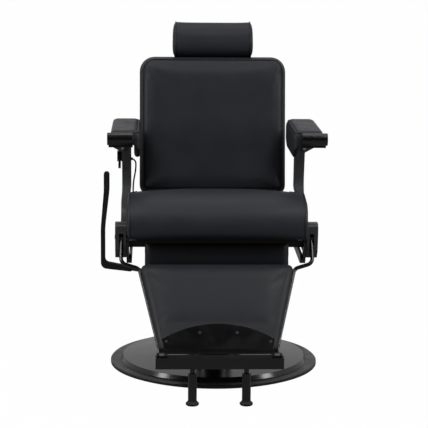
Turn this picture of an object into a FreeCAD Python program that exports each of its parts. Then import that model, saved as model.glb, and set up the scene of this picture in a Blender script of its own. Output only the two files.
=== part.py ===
import FreeCAD, Part
import math
import os

import Sketcher
from FreeCAD import Placement, Rotation, Vector

# Reclining hydraulic chair on a round base, in millimetres.
# The origin is on the floor under the column, +Z is up and the sitter faces -Y.
# Left and right are the sitter's own: left is +X, right is -X.

DIMENSIONS = {
    # Base
    "base_diameter": (660, "outer diameter of the base ring"),
    "floor_pad_thickness": (3, "rubber pad under the base"),
    "floor_pad_inset": (8, "how far the pad stays inside the ring"),
    "ring_height": (11, "base ring"),
    "ring_edge": (3, "bevel round the top of the ring"),
    "ring_ledge": (32, "ring outside the dome"),
    "dome_diameter": ("=base_diameter - 2 * ring_ledge", "glossy dome on the ring"),
    "dome_seat": (10, "width of the dome's rim that rests on the ring"),
    "dome_step_height": (13, "steep step round the dome"),
    "dome_step_slope": (8, "run of that step"),
    "dome_rise": (13, "gentle rise from the step to the flat land"),
    "dome_land_margin": (6, "flat land beyond the column flange"),
    "dome_land_diameter": (
        "=flange_diameter + 2 * dome_land_margin",
        "flat land under the column flange",
    ),
    "dome_wall": (6, "dome sheet"),
    # Column
    "flange_width": (32, "flange beyond the column tube"),
    "flange_diameter": ("=column_diameter + 2 * flange_width", "column flange"),
    "flange_thickness": (10, "column flange"),
    "column_diameter": (120, "column tube"),
    "column_bore": (90, "bore of the column"),
    "column_floor": (16, "closed bottom of the column"),
    "column_height": (165, "column above the dome"),
    "column_bolt_inset": (15, "column bolts inside the edge of the flange"),
    "column_bolt_circle": (
        "=flange_diameter - 2 * column_bolt_inset",
        "pitch circle of the column bolts",
    ),
    "column_bolt_diameter": (10, "column bolt"),
    "bush_length": (55, "guide bush in the top of the column"),
    "gland_height": (12, "gland ring on the column"),
    "gland_overhang": (5, "gland ring beyond the column"),
    "running_clearance": (0.05, "radial clearance of shafts in their bores"),
    "bolt_clearance": (0.2, "radial clearance of bolts in their holes"),
    # Lift and pump
    "ram_diameter": (64, "polished ram"),
    "ram_floor_gap": (4, "ram above the column floor when down"),
    "ram_above_gland": (45, "ram top above the gland when down"),
    "ram_plug": (24, "closed foot of the ram"),
    "push_rod_gap": (16.8, "push rod above the plug of the ram"),
    "push_rod_diameter": (16, "pump push rod inside the ram"),
    "washer_thickness": (4, "thrust washer on the ram"),
    "head_diameter": (116, "pump head"),
    "head_skirt": (40, "pump head below the top of the ram"),
    "head_height": (170, "pump head"),
    "lever_pin_diameter": (12, "pump lever pin"),
    "lever_pin_offset": (30, "pin beyond the column axis"),
    "lever_pin_rise": (38, "pin above the top of the ram"),
    "lever_slot_width": (26, "slot for the lever in the pump head"),
    "lever_slot_height": (52.8, "slot for the lever in the pump head"),
    "lever_slot_below": (42, "slot below the pin at the outer wall"),
    "lever_mouth_wall": (2.5, "head left between the ram and the slot's mouth"),
    "lever_eye_diameter": (28, "eye of the lever"),
    "lever_eye_room": (2.8, "slot beyond the eye of the lever"),
    "lever_pin_stand": (1.4, "pin beyond the wall of the pump head"),
    "lever_rod_diameter": (12, "lever rod"),
    "lever_bend_reach": (265, "from the pin to the bend of the rod"),
    "lever_bend_radius": (60, "bend of the rod"),
    "lever_grip_start": (292, "from the pin to the inner end of the grip"),
    "lever_grip_reach": (384, "from the pin to the upright of the grip"),
    "lever_tenon": (48, "rod inside the grip"),
    "lever_grip_tilt": (9, "rise of the grip's level part, degrees"),
    "lever_grip_inner": (15, "thickness of the grip at its inner end"),
    "lever_grip_corner": (21, "thickness of the grip at its corner"),
    "lever_grip_neck": (14, "thickness of the upright above the corner"),
    "lever_grip_head": (18, "thickness of the upright near its top"),
    "lever_grip_lean": (12, "inward lean of the upright"),
    "lever_grip_top": (318, "top of the upright above the pin"),
    "lever_grip_depth": (20, "grip, front to back"),
    "lever_grip_edge": (5, "rounding of the grip's inner end"),
    "lever_grip_elbow_inside": (14, "rounding inside the corner"),
    "lever_grip_elbow_outside": (20, "rounding outside the corner"),
    "lever_grip_straight": (120, "straight of the upright above the corner"),
    "lever_grip_curve_low": (300, "bend of the upright above that straight"),
    "lever_grip_curve_high": (200, "bend of the upright below its top"),
    "lever_grip_crown": (60, "straight below the top of the upright"),
    # Seat frame
    "seat_plate_width": (240, "mounting plate on the pump head"),
    "seat_plate_front": (150, "plate ahead of the column axis"),
    "seat_plate_rear": (130, "plate behind the column axis"),
    "seat_plate_thickness": (8, "mounting plate"),
    "seat_screw_spacing": (62, "square of four screws in the pump head"),
    "seat_screw_diameter": (10, "screws in the pump head"),
    "seat_screw_depth": (22, "screws in the pump head"),
    "cross_overhang": (-3, "cross tubes beyond the seat cushion, negative inside it"),
    "cross_half_length": ("=seat_width / 2 + cross_overhang", "half length of the cross tubes"),
    "cross_width": (40, "cross tubes, front to back"),
    "cross_height": (20, "cross tubes"),
    "cross_front": (105, "front cross tube ahead of the axis"),
    "cross_rear": (75, "rear cross tube behind the axis"),
    "tube_wall": (2.5, "wall of the frame tubes"),
    "rail_inner": (190, "inner face of a side rail"),
    "rail_width": (30, "side rail"),
    "rail_height": (17.5, "side rail"),
    "rail_front": (205, "front end of the rails ahead of the axis"),
    "rail_rear": (230, "rear end of the rails behind the axis"),
    "plate_thickness": (8, "hinge plates, cranks and links"),
    "plate_corner": (4, "rounded corners of flat plates"),
    "hinge_plate_lap": (27, "hinge plate along the rail"),
    "side_gap": (0.3, "side play between moving plates"),
    # Seat
    "board_thickness": (12, "seat board and back board"),
    "seat_width": (550, "seat cushion"),
    "seat_front": (285, "front of the cushion ahead of the axis"),
    "seat_rear": (150, "rear of the cushion behind the axis"),
    "seat_height": (162, "seat cushion at its front crown"),
    "seat_fall": (63, "seat top lower at the rear"),
    "seat_corner_front": (48, "cushion's front corners from above"),
    "seat_corner_rear": (40, "cushion's rear corners from above"),
    "seat_edge_low": (40, "lower side edges of the cushion"),
    "seat_edge_high": (44, "upper side edges of the cushion"),
    "seat_nose_low": (21, "lower front edge of the cushion"),
    "seat_nose_high": (111, "upper front edge of the cushion"),
    "seat_heel_low": (10, "lower rear edge of the cushion"),
    "seat_heel_high": (28, "upper rear edge of the cushion"),
    "seat_board_inset": (30, "seat board inside the cushion's edge"),
    "soft_clearance": (0.3, "gap between cushions and hard parts"),
    "apron_half_width": (220, "padded apron under the seat front"),
    "apron_height": (100, "padded apron"),
    "apron_thickness": (24, "padded apron"),
    "apron_corner_low": (16, "lower corners of the apron"),
    "apron_corner_high": (8, "upper corners of the apron"),
    "apron_roll": (19, "front edges of the apron"),
    "apron_seam": (3, "rear edges of the apron and its gap to the seat"),
    "apron_board_thickness": (6, "board behind the apron"),
    "apron_board_margin": (6, "board inside the apron's ends"),
    # Arms
    "arm_mount_thickness": (5, "mount plate between seat frame and arm"),
    "arm_inner_low": (
        "=cross_half_length + arm_mount_thickness",
        "inner face of the arm frame beside the seat",
    ),
    "arm_width_low": (34, "hinge nose of the arm frame"),
    "arm_outer_low": ("=arm_inner_low + arm_width_low", "outer face of the hinge nose"),
    "arm_body_width": (22, "arm frame behind its nose"),
    "arm_body_outer": ("=arm_inner_low + arm_body_width", "outer face of the arm frame behind its nose"),
    "arm_bow_in": (10, "arm post further in than its foot"),
    "arm_inner_high": ("=arm_inner_low - arm_bow_in", "inner face of the arm post"),
    "arm_width_high": (29, "arm post"),
    "arm_outer_high": ("=arm_inner_high + arm_width_high", "outer face of the arm post"),
    "arm_flare_width": (30, "flared top beyond the post"),
    "arm_flare": ("=arm_outer_high + arm_flare_width", "outer edge of the flared top"),
    "arm_rise": (284.5, "top of the arm frame above the seat frame"),
    "arm_nose_ahead": (24, "front of the hinge nose ahead of the leg axis"),
    "arm_nose_rise": (45, "top of the nose above that axis"),
    "arm_nose_drop": (14, "upright front of the nose above that axis"),
    "arm_drum_behind": (26, "rear of the nose's round top behind that axis"),
    "arm_neck_behind": (52, "neck behind the nose, behind that axis"),
    "arm_nose_behind": (34, "full width of the nose behind that axis"),
    "arm_nose_ramp": (14, "slope from the nose to the body"),
    "arm_chin_ahead": (15, "chin ahead of that axis"),
    "arm_chin_drop": (40, "chin below that axis"),
    "arm_toe_behind": (8, "lowest point behind that axis"),
    "arm_toe_drop": (68, "lowest point below that axis"),
    "arm_heel_behind": (40, "rear of the fork behind that axis"),
    "arm_heel_drop": (66, "rear of the fork below that axis"),
    "arm_foot_start": (60, "front of the foot behind that axis"),
    "arm_foot_drop": (36, "foot below the top of the cross tubes"),
    "arm_foot_rear": (14, "foot behind the rear cross tube"),
    "arm_hip_rear": (151, "rear of the body behind the rear cross tube"),
    "arm_hip_rise": (35, "rear of the body above the leg axis"),
    "arm_waist_rise": (2, "front foot of the post above the leg axis"),
    "arm_waist_front": (112, "front foot of the post behind the column"),
    "arm_post_rise": (120, "narrow part of the post above the leg axis"),
    "arm_post_rear_low": (216, "rear of the narrow post behind the column"),
    "arm_post_rear_high": (206, "rear of the post's top behind the column"),
    "arm_post_front_low": (150, "front of the narrow post behind the column"),
    "arm_post_front_high": (128, "front of the post's top behind the column"),
    "arm_gusset_drop": (62, "gusset below the top of the post"),
    "arm_corner_small": (12, "tight corners of the arm frame"),
    "arm_corner_middle": (20, "middle corners of the arm frame"),
    "arm_corner_large": (60, "wide sweeps of the arm frame"),
    "arm_bow_start": (46, "start of the inward bow above the leg axis"),
    "arm_bow_end": (177, "end of the bow below the top"),
    "arm_flare_drop": (60, "start of the flare below the top"),
    "arm_flare_rise": (16, "height of the flare's slope"),
    "arm_plate_thickness": (8, "arm plate"),
    "arm_plate_lip": (10, "arm plate further in than the post"),
    "arm_plate_inner": ("=arm_inner_high - arm_plate_lip", "inner edge of the arm plate"),
    "arm_plate_width": (73, "arm plate"),
    "arm_plate_outer": ("=arm_plate_inner + arm_plate_width", "outer edge of the arm plate"),
    "arm_plate_rear": ("=arm_post_rear_high", "rear end of the arm plate, over the post"),
    "arm_roll_diameter": (38, "round front of the arm plate"),
    "arm_roll_front": (200, "axis of the roll ahead of the column"),
    "arm_roll_stand": (4, "roll beyond the arm plate"),
    "arm_roll_outer": ("=arm_plate_outer + arm_roll_stand", "outer end of the roll"),
    "arm_roll_sink": (1, "how far the roll sinks into the plate"),
    "arm_pad_height": (40, "arm pad above its plate"),
    "arm_pad_gap": (3, "padded skirt beside the arm plate"),
    "arm_pad_inner": (
        "=arm_plate_inner - arm_pad_gap - arm_pad_skirt_thickness",
        "inner face of the arm pad",
    ),
    "arm_pad_setback": (4, "arm pad inside the outer edge of its plate"),
    "arm_pad_outer": ("=arm_plate_outer - arm_pad_setback", "outer face of the arm pad"),
    "arm_pad_skirt": (50, "padded skirt below the plate's top"),
    "arm_pad_skirt_thickness": (20, "padded skirt"),
    "arm_pad_front": (178, "front end of the pad"),
    "arm_pad_rear": (160, "rear end of the pad"),
    "arm_pad_slope_front": (55, "front slope of the skirt"),
    "arm_pad_slope_rear": (48, "rear slope of the skirt"),
    "arm_pad_sweep_front": (34, "rounding of the skirt's front corner"),
    "arm_pad_sweep_rear": (40, "rounding of the skirt's rear corner"),
    "arm_pad_skirt_edge": (9, "lower edge of the skirt"),
    "arm_pad_crease": (1, "inner corner over the plate"),
    "arm_pad_lip": (5, "lower outer edge"),
    "arm_pad_edge_outer": (16, "upper outer edge"),
    "arm_pad_edge_inner": (22, "upper inner edge"),
    "arm_pad_edge_front": (10, "upper front edge"),
    "arm_pad_edge_rear": (20, "upper rear edge"),
    "arm_pad_toe": (6, "lower front corner"),
    "arm_pad_heel": (10.5, "lower rear corner"),
    "arm_mount_height": (34, "mount plate between seat frame and arm"),
    "arm_bolt_diameter": (10, "bolts that hold the arm frames"),
    "cap_nut_diameter": (12, "bright cap nut on the post"),
    "cap_nut_height": (6, "bright cap nut on the post"),
    "cap_stud_diameter": (8, "stud of the cap nut"),
    "cap_stud_depth": (24, "stud of the cap nut"),
    "cap_nut_inset": (2, "cap nut inside the post's outer face"),
    "cap_nut_drop": (46, "cap nut below the top of the post"),
    # Back
    "back_pivot_behind": (255, "hinge axis of the back behind the column"),
    "back_pivot_rise": (14.5, "hinge axis above the seat frame"),
    "back_lean": (10, "lean of the back at rest, degrees"),
    "hinge_shaft_diameter": (18, "hinge shaft of the back"),
    "upright_depth": (20, "side plates and cross tubes of the back"),
    "upright_below": (27, "side plates below the top of the cushion"),
    "upright_height": ("=back_top - upright_below", "top of the side plates above the hinge"),
    "upright_inset": (7, "side plates inside the hinge plates"),
    "back_tube_height": (25, "cross tubes of the back"),
    "back_tube_low": (66, "lower cross tube above the hinge"),
    "back_tube_drop": (50, "upper cross tube below the top of the side plates"),
    "back_tube_high": ("=upright_height - back_tube_drop", "upper cross tube above the hinge"),
    "frame_front": (9, "front of the back frame ahead of the hinge"),
    "back_half_width": (240, "back cushion"),
    "back_bottom": (52, "bottom of the back cushion above the hinge"),
    "back_top": (503.5, "top of the back cushion above the hinge"),
    "back_thickness": (85, "back cushion"),
    "back_corner_low": (26, "lower corners of the cushion from ahead"),
    "back_corner_high": (48, "upper corners of the cushion from ahead"),
    "back_edge_side": (31, "front side edges of the cushion"),
    "back_edge_low": (29, "lower front edge of the cushion"),
    "back_edge_high": (36, "upper front edge of the cushion"),
    "back_edge_rear": (6, "rear edges of the cushion"),
    "cover_inset": (2, "rear cover inside the cushion's outline"),
    "cover_wall": (3, "rear cover"),
    "cover_corner_low": (22, "lower corners of the rear cover"),
    "cover_corner_high": (44, "upper corners of the rear cover"),
    "cover_screw_diameter": (5, "rear cover screws"),
    "cover_screw_depth": (9, "rear cover screws in the cross tubes"),
    "cover_screw_inset": (41, "outer screws inside the side plates"),
    "cover_screw_offset": (
        "=rail_inner + rail_width - upright_inset - plate_thickness - cover_screw_inset",
        "outer screws from the middle",
    ),
    "post_spacing": (120, "headrest posts"),
    "post_diameter": (12, "headrest posts"),
    "guide_wall": (3, "guide tubes of the headrest"),
    "guide_inside": (125, "guide tubes below the top of the cushion"),
    "guide_bottom": ("=back_top - guide_inside", "guide tubes above the hinge"),
    "guide_stand": (3, "guide tubes above the rear cover"),
    "post_inside": (152, "posts below the top of the cushion"),
    "post_bottom": ("=back_top - post_inside", "lower end of the posts above the hinge"),
    "post_reach": (69, "posts inside the headrest"),
    "post_top": ("=back_top + headrest_gap + post_reach", "upper end of the posts above the hinge"),
    "headrest_half_width": (134, "headrest cushion"),
    "headrest_gap": (1, "headrest above the back cushion"),
    "headrest_height": (115, "headrest cushion"),
    "headrest_thickness": (78, "headrest cushion"),
    "headrest_corner_low": (20, "lower corners from ahead"),
    "headrest_corner_high": (24, "upper corners from ahead"),
    "headrest_edge_side": (26, "front side edges"),
    "headrest_edge_seam": (12, "rear side edges"),
    "headrest_nose_low": (42, "lower front edge"),
    "headrest_nose_high": (48, "upper front edge"),
    "headrest_heel": (15, "rear upper and lower edges"),
    "clamp_half_width": (82, "clamp block on the posts"),
    "clamp_height": (36, "clamp block on the posts"),
    "headrest_board_inset": (14, "headrest board inside the cushion"),
    # Leg rest and linkage
    "leg_pivot_ahead": (182, "hinge axis of the leg rest ahead of the column"),
    "leg_pivot_rise": (5.5, "hinge axis above the seat frame"),
    "leg_slope": (35, "slope of the leg rest from upright, degrees"),
    "leg_shaft_diameter": (14, "hinge shafts of the leg rest"),
    "leg_rod_diameter": (12, "bent rods"),
    "leg_rod_inset": (15, "rods inside the arm frames"),
    "leg_rod_offset": ("=arm_inner_low + leg_rod_inset", "rods in the arm frames, from the middle"),
    "leg_boss_diameter": (26, "boss on a rod"),
    "leg_slot_clearance": (0.7, "rod boss to the cheeks of its slot"),
    "leg_bend_low": (88, "first bend below the hinge"),
    "leg_bend_in": (106, "second bend below the hinge"),
    "rod_gap_top": (8.5, "rod beyond the top of the pad"),
    "leg_rod_high": ("=pad_half_top + rod_gap_top", "rod beside the top of the pad"),
    "rod_gap_bottom": (11.4, "rod beyond the bottom of the pad"),
    "leg_rod_low": ("=pad_half_bottom + rod_gap_bottom", "rod beside the bottom of the pad"),
    "leg_bend_end": (365, "last bend below the hinge"),
    "leg_bend_radius": (22, "bends of the rods"),
    "leg_end_radius": (31, "last bends of the rods"),
    "leg_shaft_stand": (1.5, "hinge shaft beyond the arm frame"),
    "pad_half_top": (228, "calf pad, top"),
    "pad_half_bottom": (164.5, "calf pad, bottom"),
    "pad_start": (98, "top of the calf pad below the hinge"),
    "pad_end": ("=kick_shoulder + kick_side + kick_inset", "bottom of the calf pad below the hinge"),
    "pad_thickness": (34, "calf pad"),
    "pad_back": (2, "back of the pad ahead of the rods' plane"),
    "pad_corner_top": (16, "upper corners of the calf pad"),
    "pad_corner_bottom": (13, "lower corners of the calf pad"),
    "pad_edge_top": (24, "upper front edge of the calf pad"),
    "pad_edge_bottom": (5, "lower front edge of the calf pad"),
    "pad_edge_rear": (4, "rear edges of the calf pad"),
    "calf_board_inset": (14, "calf board inside the pad"),
    "calf_corner_top": (12, "upper corners of the calf board"),
    "calf_corner_bottom": (10, "lower corners of the calf board"),
    "leg_bar_width": (22, "flat cross bars of the leg rest"),
    "leg_bar_thickness": (5, "flat cross bars of the leg rest"),
    "leg_bar_first": (160, "upper cross bar below the hinge"),
    "leg_bar_second": (330, "lower cross bar below the hinge"),
    "kick_thickness": (2, "kick plate"),
    "kick_inset": (4, "kick plate inside the pad's edge"),
    "kick_side": (32, "upright ends of the kick plate"),
    "kick_arch": (49, "rise of the kick plate over its ends"),
    "kick_peak": ("=kick_shoulder - kick_arch", "top of the kick plate's arch below the hinge"),
    "kick_shoulder": (349, "ends of the arch below the hinge"),
    "kick_screw_diameter": (4, "kick plate screws"),
    "kick_screw_head": (10, "kick plate screws"),
    "kick_screw_cap": (2.5, "height of those heads"),
    "kick_screw_margin": (17.4, "outer screws inside the pad's edge"),
    "kick_screw_inner": (55.6, "inner screws from the middle"),
    "kick_screw_low": (7.8, "outer screws below the ends of the arch"),
    "kick_screw_high": (19.6, "inner screws above the ends of the arch"),
    "foot_bar_margin": (8, "foot bar beyond the rods"),
    "foot_bar_half": ("=leg_rod_low + foot_bar_margin", "foot bar without its caps"),
    "foot_bar_ahead": (505, "foot bar ahead of the column"),
    "foot_bar_depth": (40, "foot bar, front to back"),
    "foot_bar_height": (33, "foot bar"),
    "foot_bar_top": (287.5, "top of the foot bar below the seat frame"),
    "foot_cap_thickness": (3, "end caps of the foot bar"),
    "foot_tab_thickness": (4, "welded tabs on the foot bar"),
    "foot_tab_half": (16, "half width of a tab"),
    "foot_tab_inset": (8, "tab nearer the middle than its rod"),
    "foot_tab_reach": (27, "tab on top of the bar"),
    "foot_tab_tail": (8, "tab behind the bar"),
    "foot_bolt_diameter": (8, "foot bar bolts"),
    "rod_under_tab": (1, "weld of the rod into the tab"),
    "support_spacing": (158, "support legs under the foot bar"),
    "stud_diameter": (15, "support leg stud"),
    "stud_length": (16, "support leg stud"),
    "sleeve_diameter": (26, "support leg sleeve"),
    "sleeve_length": (84, "support leg sleeve"),
    "foot_diameter": (39, "rubber foot"),
    "foot_height": (13, "rubber foot"),
    "crank_length": (80, "cranks on both hinge axes"),
    "crank_back": (22.5, "backward lean of the cranks at rest, degrees"),
    "crank_eye_diameter": (36, "cranks at the hinge shafts"),
    "crank_tip_diameter": (28, "cranks at their pins and the links' ends"),
    "crank_pin_diameter": (12, "crank pins"),
    # Gas strut
    "strut_offset": (90, "strut beside the column"),
    "strut_diameter": (28, "strut body"),
    "strut_front": (140, "front end of the body ahead of the column"),
    "strut_rear": (62, "rear end of the body behind the column"),
    "strut_wall_end": (8, "closed front end"),
    "strut_valve_length": (26, "valve block ahead of the body"),
    "strut_rod_diameter": (10, "strut rod"),
    "strut_rod_inside": (122, "rod inside the body at rest"),
    "strut_pin_diameter": (10, "pin of the strut crank"),
    "strut_slot_play": (0.8, "play of that pin along the strut"),
    "strut_crank_tip": (22, "strut crank at its pin"),
    "strut_eye_wall": (8, "wall round the slotted eye"),
    "strut_eye_thickness": (10, "slotted eye"),
    "strut_crank_thickness": (7, "two plates of the strut crank"),
    "clamp_block_width": (44, "strut clamps"),
    "clamp_block_depth": (24, "strut clamps"),
    "clamp_block_below": (18, "strut clamps below the strut's axis"),
    "clamp_front": (118, "front clamp ahead of the column"),
    "clamp_rear": (40, "rear clamp behind the column"),
    # Release lever and cable
    "housing_depth": (40, "release lever housing, front to back"),
    "housing_height": (32, "release lever housing"),
    "housing_width": (16, "release lever housing"),
    "housing_behind": (171, "middle of the housing behind the column"),
    "housing_drop": (62, "top of the housing below the arm plate"),
    "housing_corner": (6, "rounded corners of the housing"),
    "trigger_thickness": (8, "release lever"),
    "trigger_play": (0.4, "side play of the release lever"),
    "trigger_roof": (2, "housing above the eye of the release lever"),
    "trigger_room": (1, "slot round that eye"),
    "trigger_pin_diameter": (5, "pin of the release lever"),
    "trigger_eye_diameter": (16, "eye of the release lever"),
    "trigger_reach": (52, "release lever from its pin"),
    "trigger_drop": (44, "slope of the release lever below level, degrees"),
    "trigger_tip_diameter": (11, "tip of the release lever"),
    "cable_diameter": (5, "release cable"),
    "ferrule_diameter": (9, "ferrule of the cable on the post"),
    "ferrule_length": (6, "ferrule of the cable on the post"),
}

# Hexagon heads and nuts, in diameters of their bolt: over the corners, and high
HEAD_ACROSS = 1.9
HEAD_HEIGHT = 0.65
# Angles of the column bolts, in degrees
COLUMN_BOLTS = range(0, 360, 60)
# How far a cutting tool runs past what it cuts, just past and well past
PAST = 1
FAR = 1000
# The rubber foot from its tread up to its neck: shares of its diameter and of its height
FOOT_PROFILE = ((0.44, 1), (0.5, 0.8), (0.5, 0.5), (0.44, 0.32))
# Pull of the two middle poles of a side step, as a share of its height
BOW_PULL = 0.4545

document = FreeCAD.newDocument("barber_chair")
sheet = document.addObject("Spreadsheet::Sheet", "sizes")
parts = []


class Length:
    """A number that keeps its formula in the sheet's names beside its present value."""

    def __init__(self, value, formula):
        self.value = value
        self.formula = formula

    def __float__(self):
        return float(self.value)

    def __add__(self, other):
        return Length(float(self) + float(other), f"({self.formula} + {formula_of(other)})")

    def __sub__(self, other):
        return Length(float(self) - float(other), f"({self.formula} - {formula_of(other)})")

    def __mul__(self, other):
        return Length(float(self) * float(other), f"({self.formula} * {formula_of(other)})")

    def __truediv__(self, other):
        return Length(float(self) / float(other), f"({self.formula} / {formula_of(other)})")

    def __neg__(self):
        return Length(-float(self), f"(-{self.formula})")

    def __radd__(self, other):
        return Length(float(other), formula_of(other)) + self

    def __rsub__(self, other):
        return Length(float(other), formula_of(other)) - self

    def __rmul__(self, other):
        return self * other


def formula_of(number):
    if isinstance(number, Length):
        return number.formula
    return f"({float(number)!r})"


class Sizes:
    """The sheet's cells as attributes, such as s.base_diameter."""

    def __init__(self):
        for row, name in enumerate(DIMENSIONS, start=1):
            sheet.setAlias(f"B{row}", name)
        for row, (value, meaning) in enumerate(DIMENSIONS.values(), start=1):
            sheet.set(f"A{row}", meaning)
            sheet.set(f"B{row}", str(value))
        document.recompute()
        for name in DIMENSIONS:
            setattr(self, name, Length(sheet.get(name), f"sizes.{name}"))


s = Sizes()

# Levels above the floor, from the base up to the seat frame
ring_bottom = s.floor_pad_thickness
ring_top = ring_bottom + s.ring_height
step_top = ring_top + s.dome_step_height
dome_top = step_top + s.dome_rise
column_top = dome_top + s.column_height
gland_top = column_top + s.gland_height
ram_top = gland_top + s.ram_above_gland
washer_top = ram_top + s.washer_thickness
head_bottom = ram_top - s.head_skirt
head_top = head_bottom + s.head_height
seat_plate_top = head_top + s.seat_plate_thickness
cross_top = seat_plate_top + s.cross_height
frame_top = cross_top + s.rail_height

# Axes that move with the seat
lever_pin_z = ram_top + s.lever_pin_rise
leg_y = -s.leg_pivot_ahead
leg_z = frame_top + s.leg_pivot_rise
back_y = s.back_pivot_behind
back_z = frame_top + s.back_pivot_rise
arm_top = frame_top + s.arm_rise
arm_plate_top = arm_top + s.arm_plate_thickness
housing_top = arm_top - s.housing_drop
foot_bar_top = frame_top - s.foot_bar_top
strut_low = s.crank_length * (1 + math.cos(math.radians(float(s.crank_back)))) / 2
strut_z = back_z - strut_low

# Planes across the chair
rail_outer = s.rail_inner + s.rail_width
hinge_outer = rail_outer + s.plate_thickness
crank_outer = s.arm_inner_low - s.side_gap
crank_inner = crank_outer - s.plate_thickness
link_outer = crank_inner - s.side_gap
link_inner = link_outer - s.plate_thickness
SIDES = (("left", 1), ("right", -1))


def bind(thing, **formulas):
    """Ties properties to formulas; a double underscore in a name stands for a full stop."""
    for name, number in formulas.items():
        thing.setExpression(name.replace("__", "."), formula_of(number))
    return thing


def seat_at(thing, x=0, y=0, z=0):
    return bind(thing, Placement__Base__x=x, Placement__Base__y=y, Placement__Base__z=z)


def block(low, high):
    """A box between two corners."""
    made = document.addObject("Part::Box", "block")
    bind(made, Length=high[0] - low[0], Width=high[1] - low[1], Height=high[2] - low[2])
    return seat_at(made, *low)


AXIS_TURNS = {
    "x": Rotation(Vector(0, 1, 0), 90),
    "y": Rotation(Vector(1, 0, 0), -90),
    "z": Rotation(),
}


def rod(axis, start, diameter, length):
    """A round bar from a point along +X, +Y or +Z."""
    made = document.addObject("Part::Cylinder", "rod")
    made.Placement = Placement(Vector(), AXIS_TURNS[axis])
    bind(made, Radius=diameter / 2, Height=length)
    return seat_at(made, *start)


def hexagon(axis, start, diameter, height):
    """A hexagonal head or nut, its size over the corners."""
    made = document.addObject("Part::Prism", "hexagon")
    made.Polygon = 6
    made.Placement = Placement(Vector(), AXIS_TURNS[axis])
    bind(made, Circumradius=diameter / 2, Height=height)
    return seat_at(made, *start)


def bolt_head(axis, start, diameter):
    """The hexagonal head or nut of a bolt of this diameter."""
    return hexagon(axis, start, diameter * HEAD_ACROSS, diameter * HEAD_HEIGHT)


def cut(base, *tools):
    made = document.addObject("Part::Cut", "cut")
    made.Base = base
    made.Tool = group(*tools) if len(tools) > 1 else tools[0]
    return made


def fuse(*pieces):
    made = document.addObject("Part::MultiFuse", "fuse")
    made.Shapes = list(pieces)
    return made


def group(*pieces):
    made = document.addObject("Part::Compound", "group")
    made.Links = list(pieces)
    return made


def solid(shape):
    """A shape worked out from the sheet's values, for forms that primitives don't make."""
    made = document.addObject("Part::Feature", "solid")
    made.Shape = shape
    return made


def keep(label, piece):
    """Names a finished sub-part."""
    piece.Label = label
    parts.append(piece)
    return piece


def lean(piece, y, z, angle):
    """Hangs a piece, drawn upright round its axis, on that axis at its lean at rest."""
    piece.Placement = Placement(Vector(), Rotation(Vector(1, 0, 0), -float(angle)))
    bind(piece, Placement__Rotation__Angle=angle)
    bind(piece, Placement__Rotation__Axis__x=-1)
    bind(piece, Placement__Rotation__Axis__y=0, Placement__Rotation__Axis__z=0)
    return seat_at(piece, 0, y, z)


def on_back(piece):
    return lean(piece, back_y, back_z, s.back_lean)


def on_leg(piece):
    return lean(piece, leg_y, leg_z, s.leg_slope)


def sketch_on(body, role, points):
    """A closed outline of straight lines, each corner tied to its two formulas."""
    sketch = body.newObject("Sketcher::SketchObject", "outline")
    plane = [feature for feature in body.Origin.OriginFeatures if feature.Role == role][0]
    sketch.AttachmentSupport = [(plane, "")]
    sketch.MapMode = "FlatFace"
    places = [Vector(float(a), float(b), 0) for a, b in points]
    count = len(points)
    for index in range(count):
        sketch.addGeometry(Part.LineSegment(places[index], places[(index + 1) % count]))
    for index in range(count):
        sketch.addConstraint(Sketcher.Constraint("Coincident", index, 2, (index + 1) % count, 1))
    for index, corner in enumerate(points):
        for kind, number in zip(("DistanceX", "DistanceY"), corner):
            tied = sketch.addConstraint(Sketcher.Constraint(kind, -1, 1, index, 1, float(number)))
            sketch.setExpression(f"Constraints[{tied}]", formula_of(number))
    return sketch


def turned(profile):
    """A body turned about Z from corners (radius, height)."""
    body = document.addObject("PartDesign::Body", "turned")
    sketch = sketch_on(body, "XZ_Plane", profile)
    turn = body.newObject("PartDesign::Revolution", "turn")
    turn.Profile = sketch
    turn.ReferenceAxis = (sketch, ["V_Axis"])
    turn.Angle = 360
    document.recompute()
    return body


def drill_circle(body, circle, diameter, count):
    """Holes along Z right through a turned body, on a pitch circle."""
    sketch = body.newObject("Sketcher::SketchObject", "hole")
    plane = [feature for feature in body.Origin.OriginFeatures if feature.Role == "XY_Plane"][0]
    sketch.AttachmentSupport = [(plane, "")]
    sketch.MapMode = "FlatFace"
    sketch.addGeometry(Part.Circle(Vector(float(circle) / 2, 0, 0), Vector(0, 0, 1), float(diameter) / 2))
    for kind, first, second, number in (
        ("DistanceX", (-1, 1), (0, 3), circle / 2),
        ("DistanceY", (-1, 1), (0, 3), 0),
    ):
        tied = sketch.addConstraint(Sketcher.Constraint(kind, *first, *second, float(number)))
        sketch.setExpression(f"Constraints[{tied}]", formula_of(number))
    tied = sketch.addConstraint(Sketcher.Constraint("Radius", 0, float(diameter) / 2))
    sketch.setExpression(f"Constraints[{tied}]", formula_of(diameter / 2))
    solid_volume = body.Shape.Volume
    pocket = body.newObject("PartDesign::Pocket", "drill")
    pocket.Profile = sketch
    pocket.Type = "ThroughAll"
    pocket.Midplane = True
    document.recompute()
    pattern = body.newObject("PartDesign::PolarPattern", "holes")
    pattern.Originals = [pocket]
    pattern.Axis = (sketch, ["N_Axis"])
    pattern.Angle = 360
    pattern.Occurrences = count
    body.Tip = pattern
    document.recompute()
    if body.Shape.Volume >= solid_volume:
        raise RuntimeError("the bolt holes cut nothing")
    return body


PLANES = {
    "xy": lambda a, b, c: Vector(a, b, c),
    "xz": lambda a, b, c: Vector(a, c, b),
    "yz": lambda a, b, c: Vector(c, a, b),
}


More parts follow.
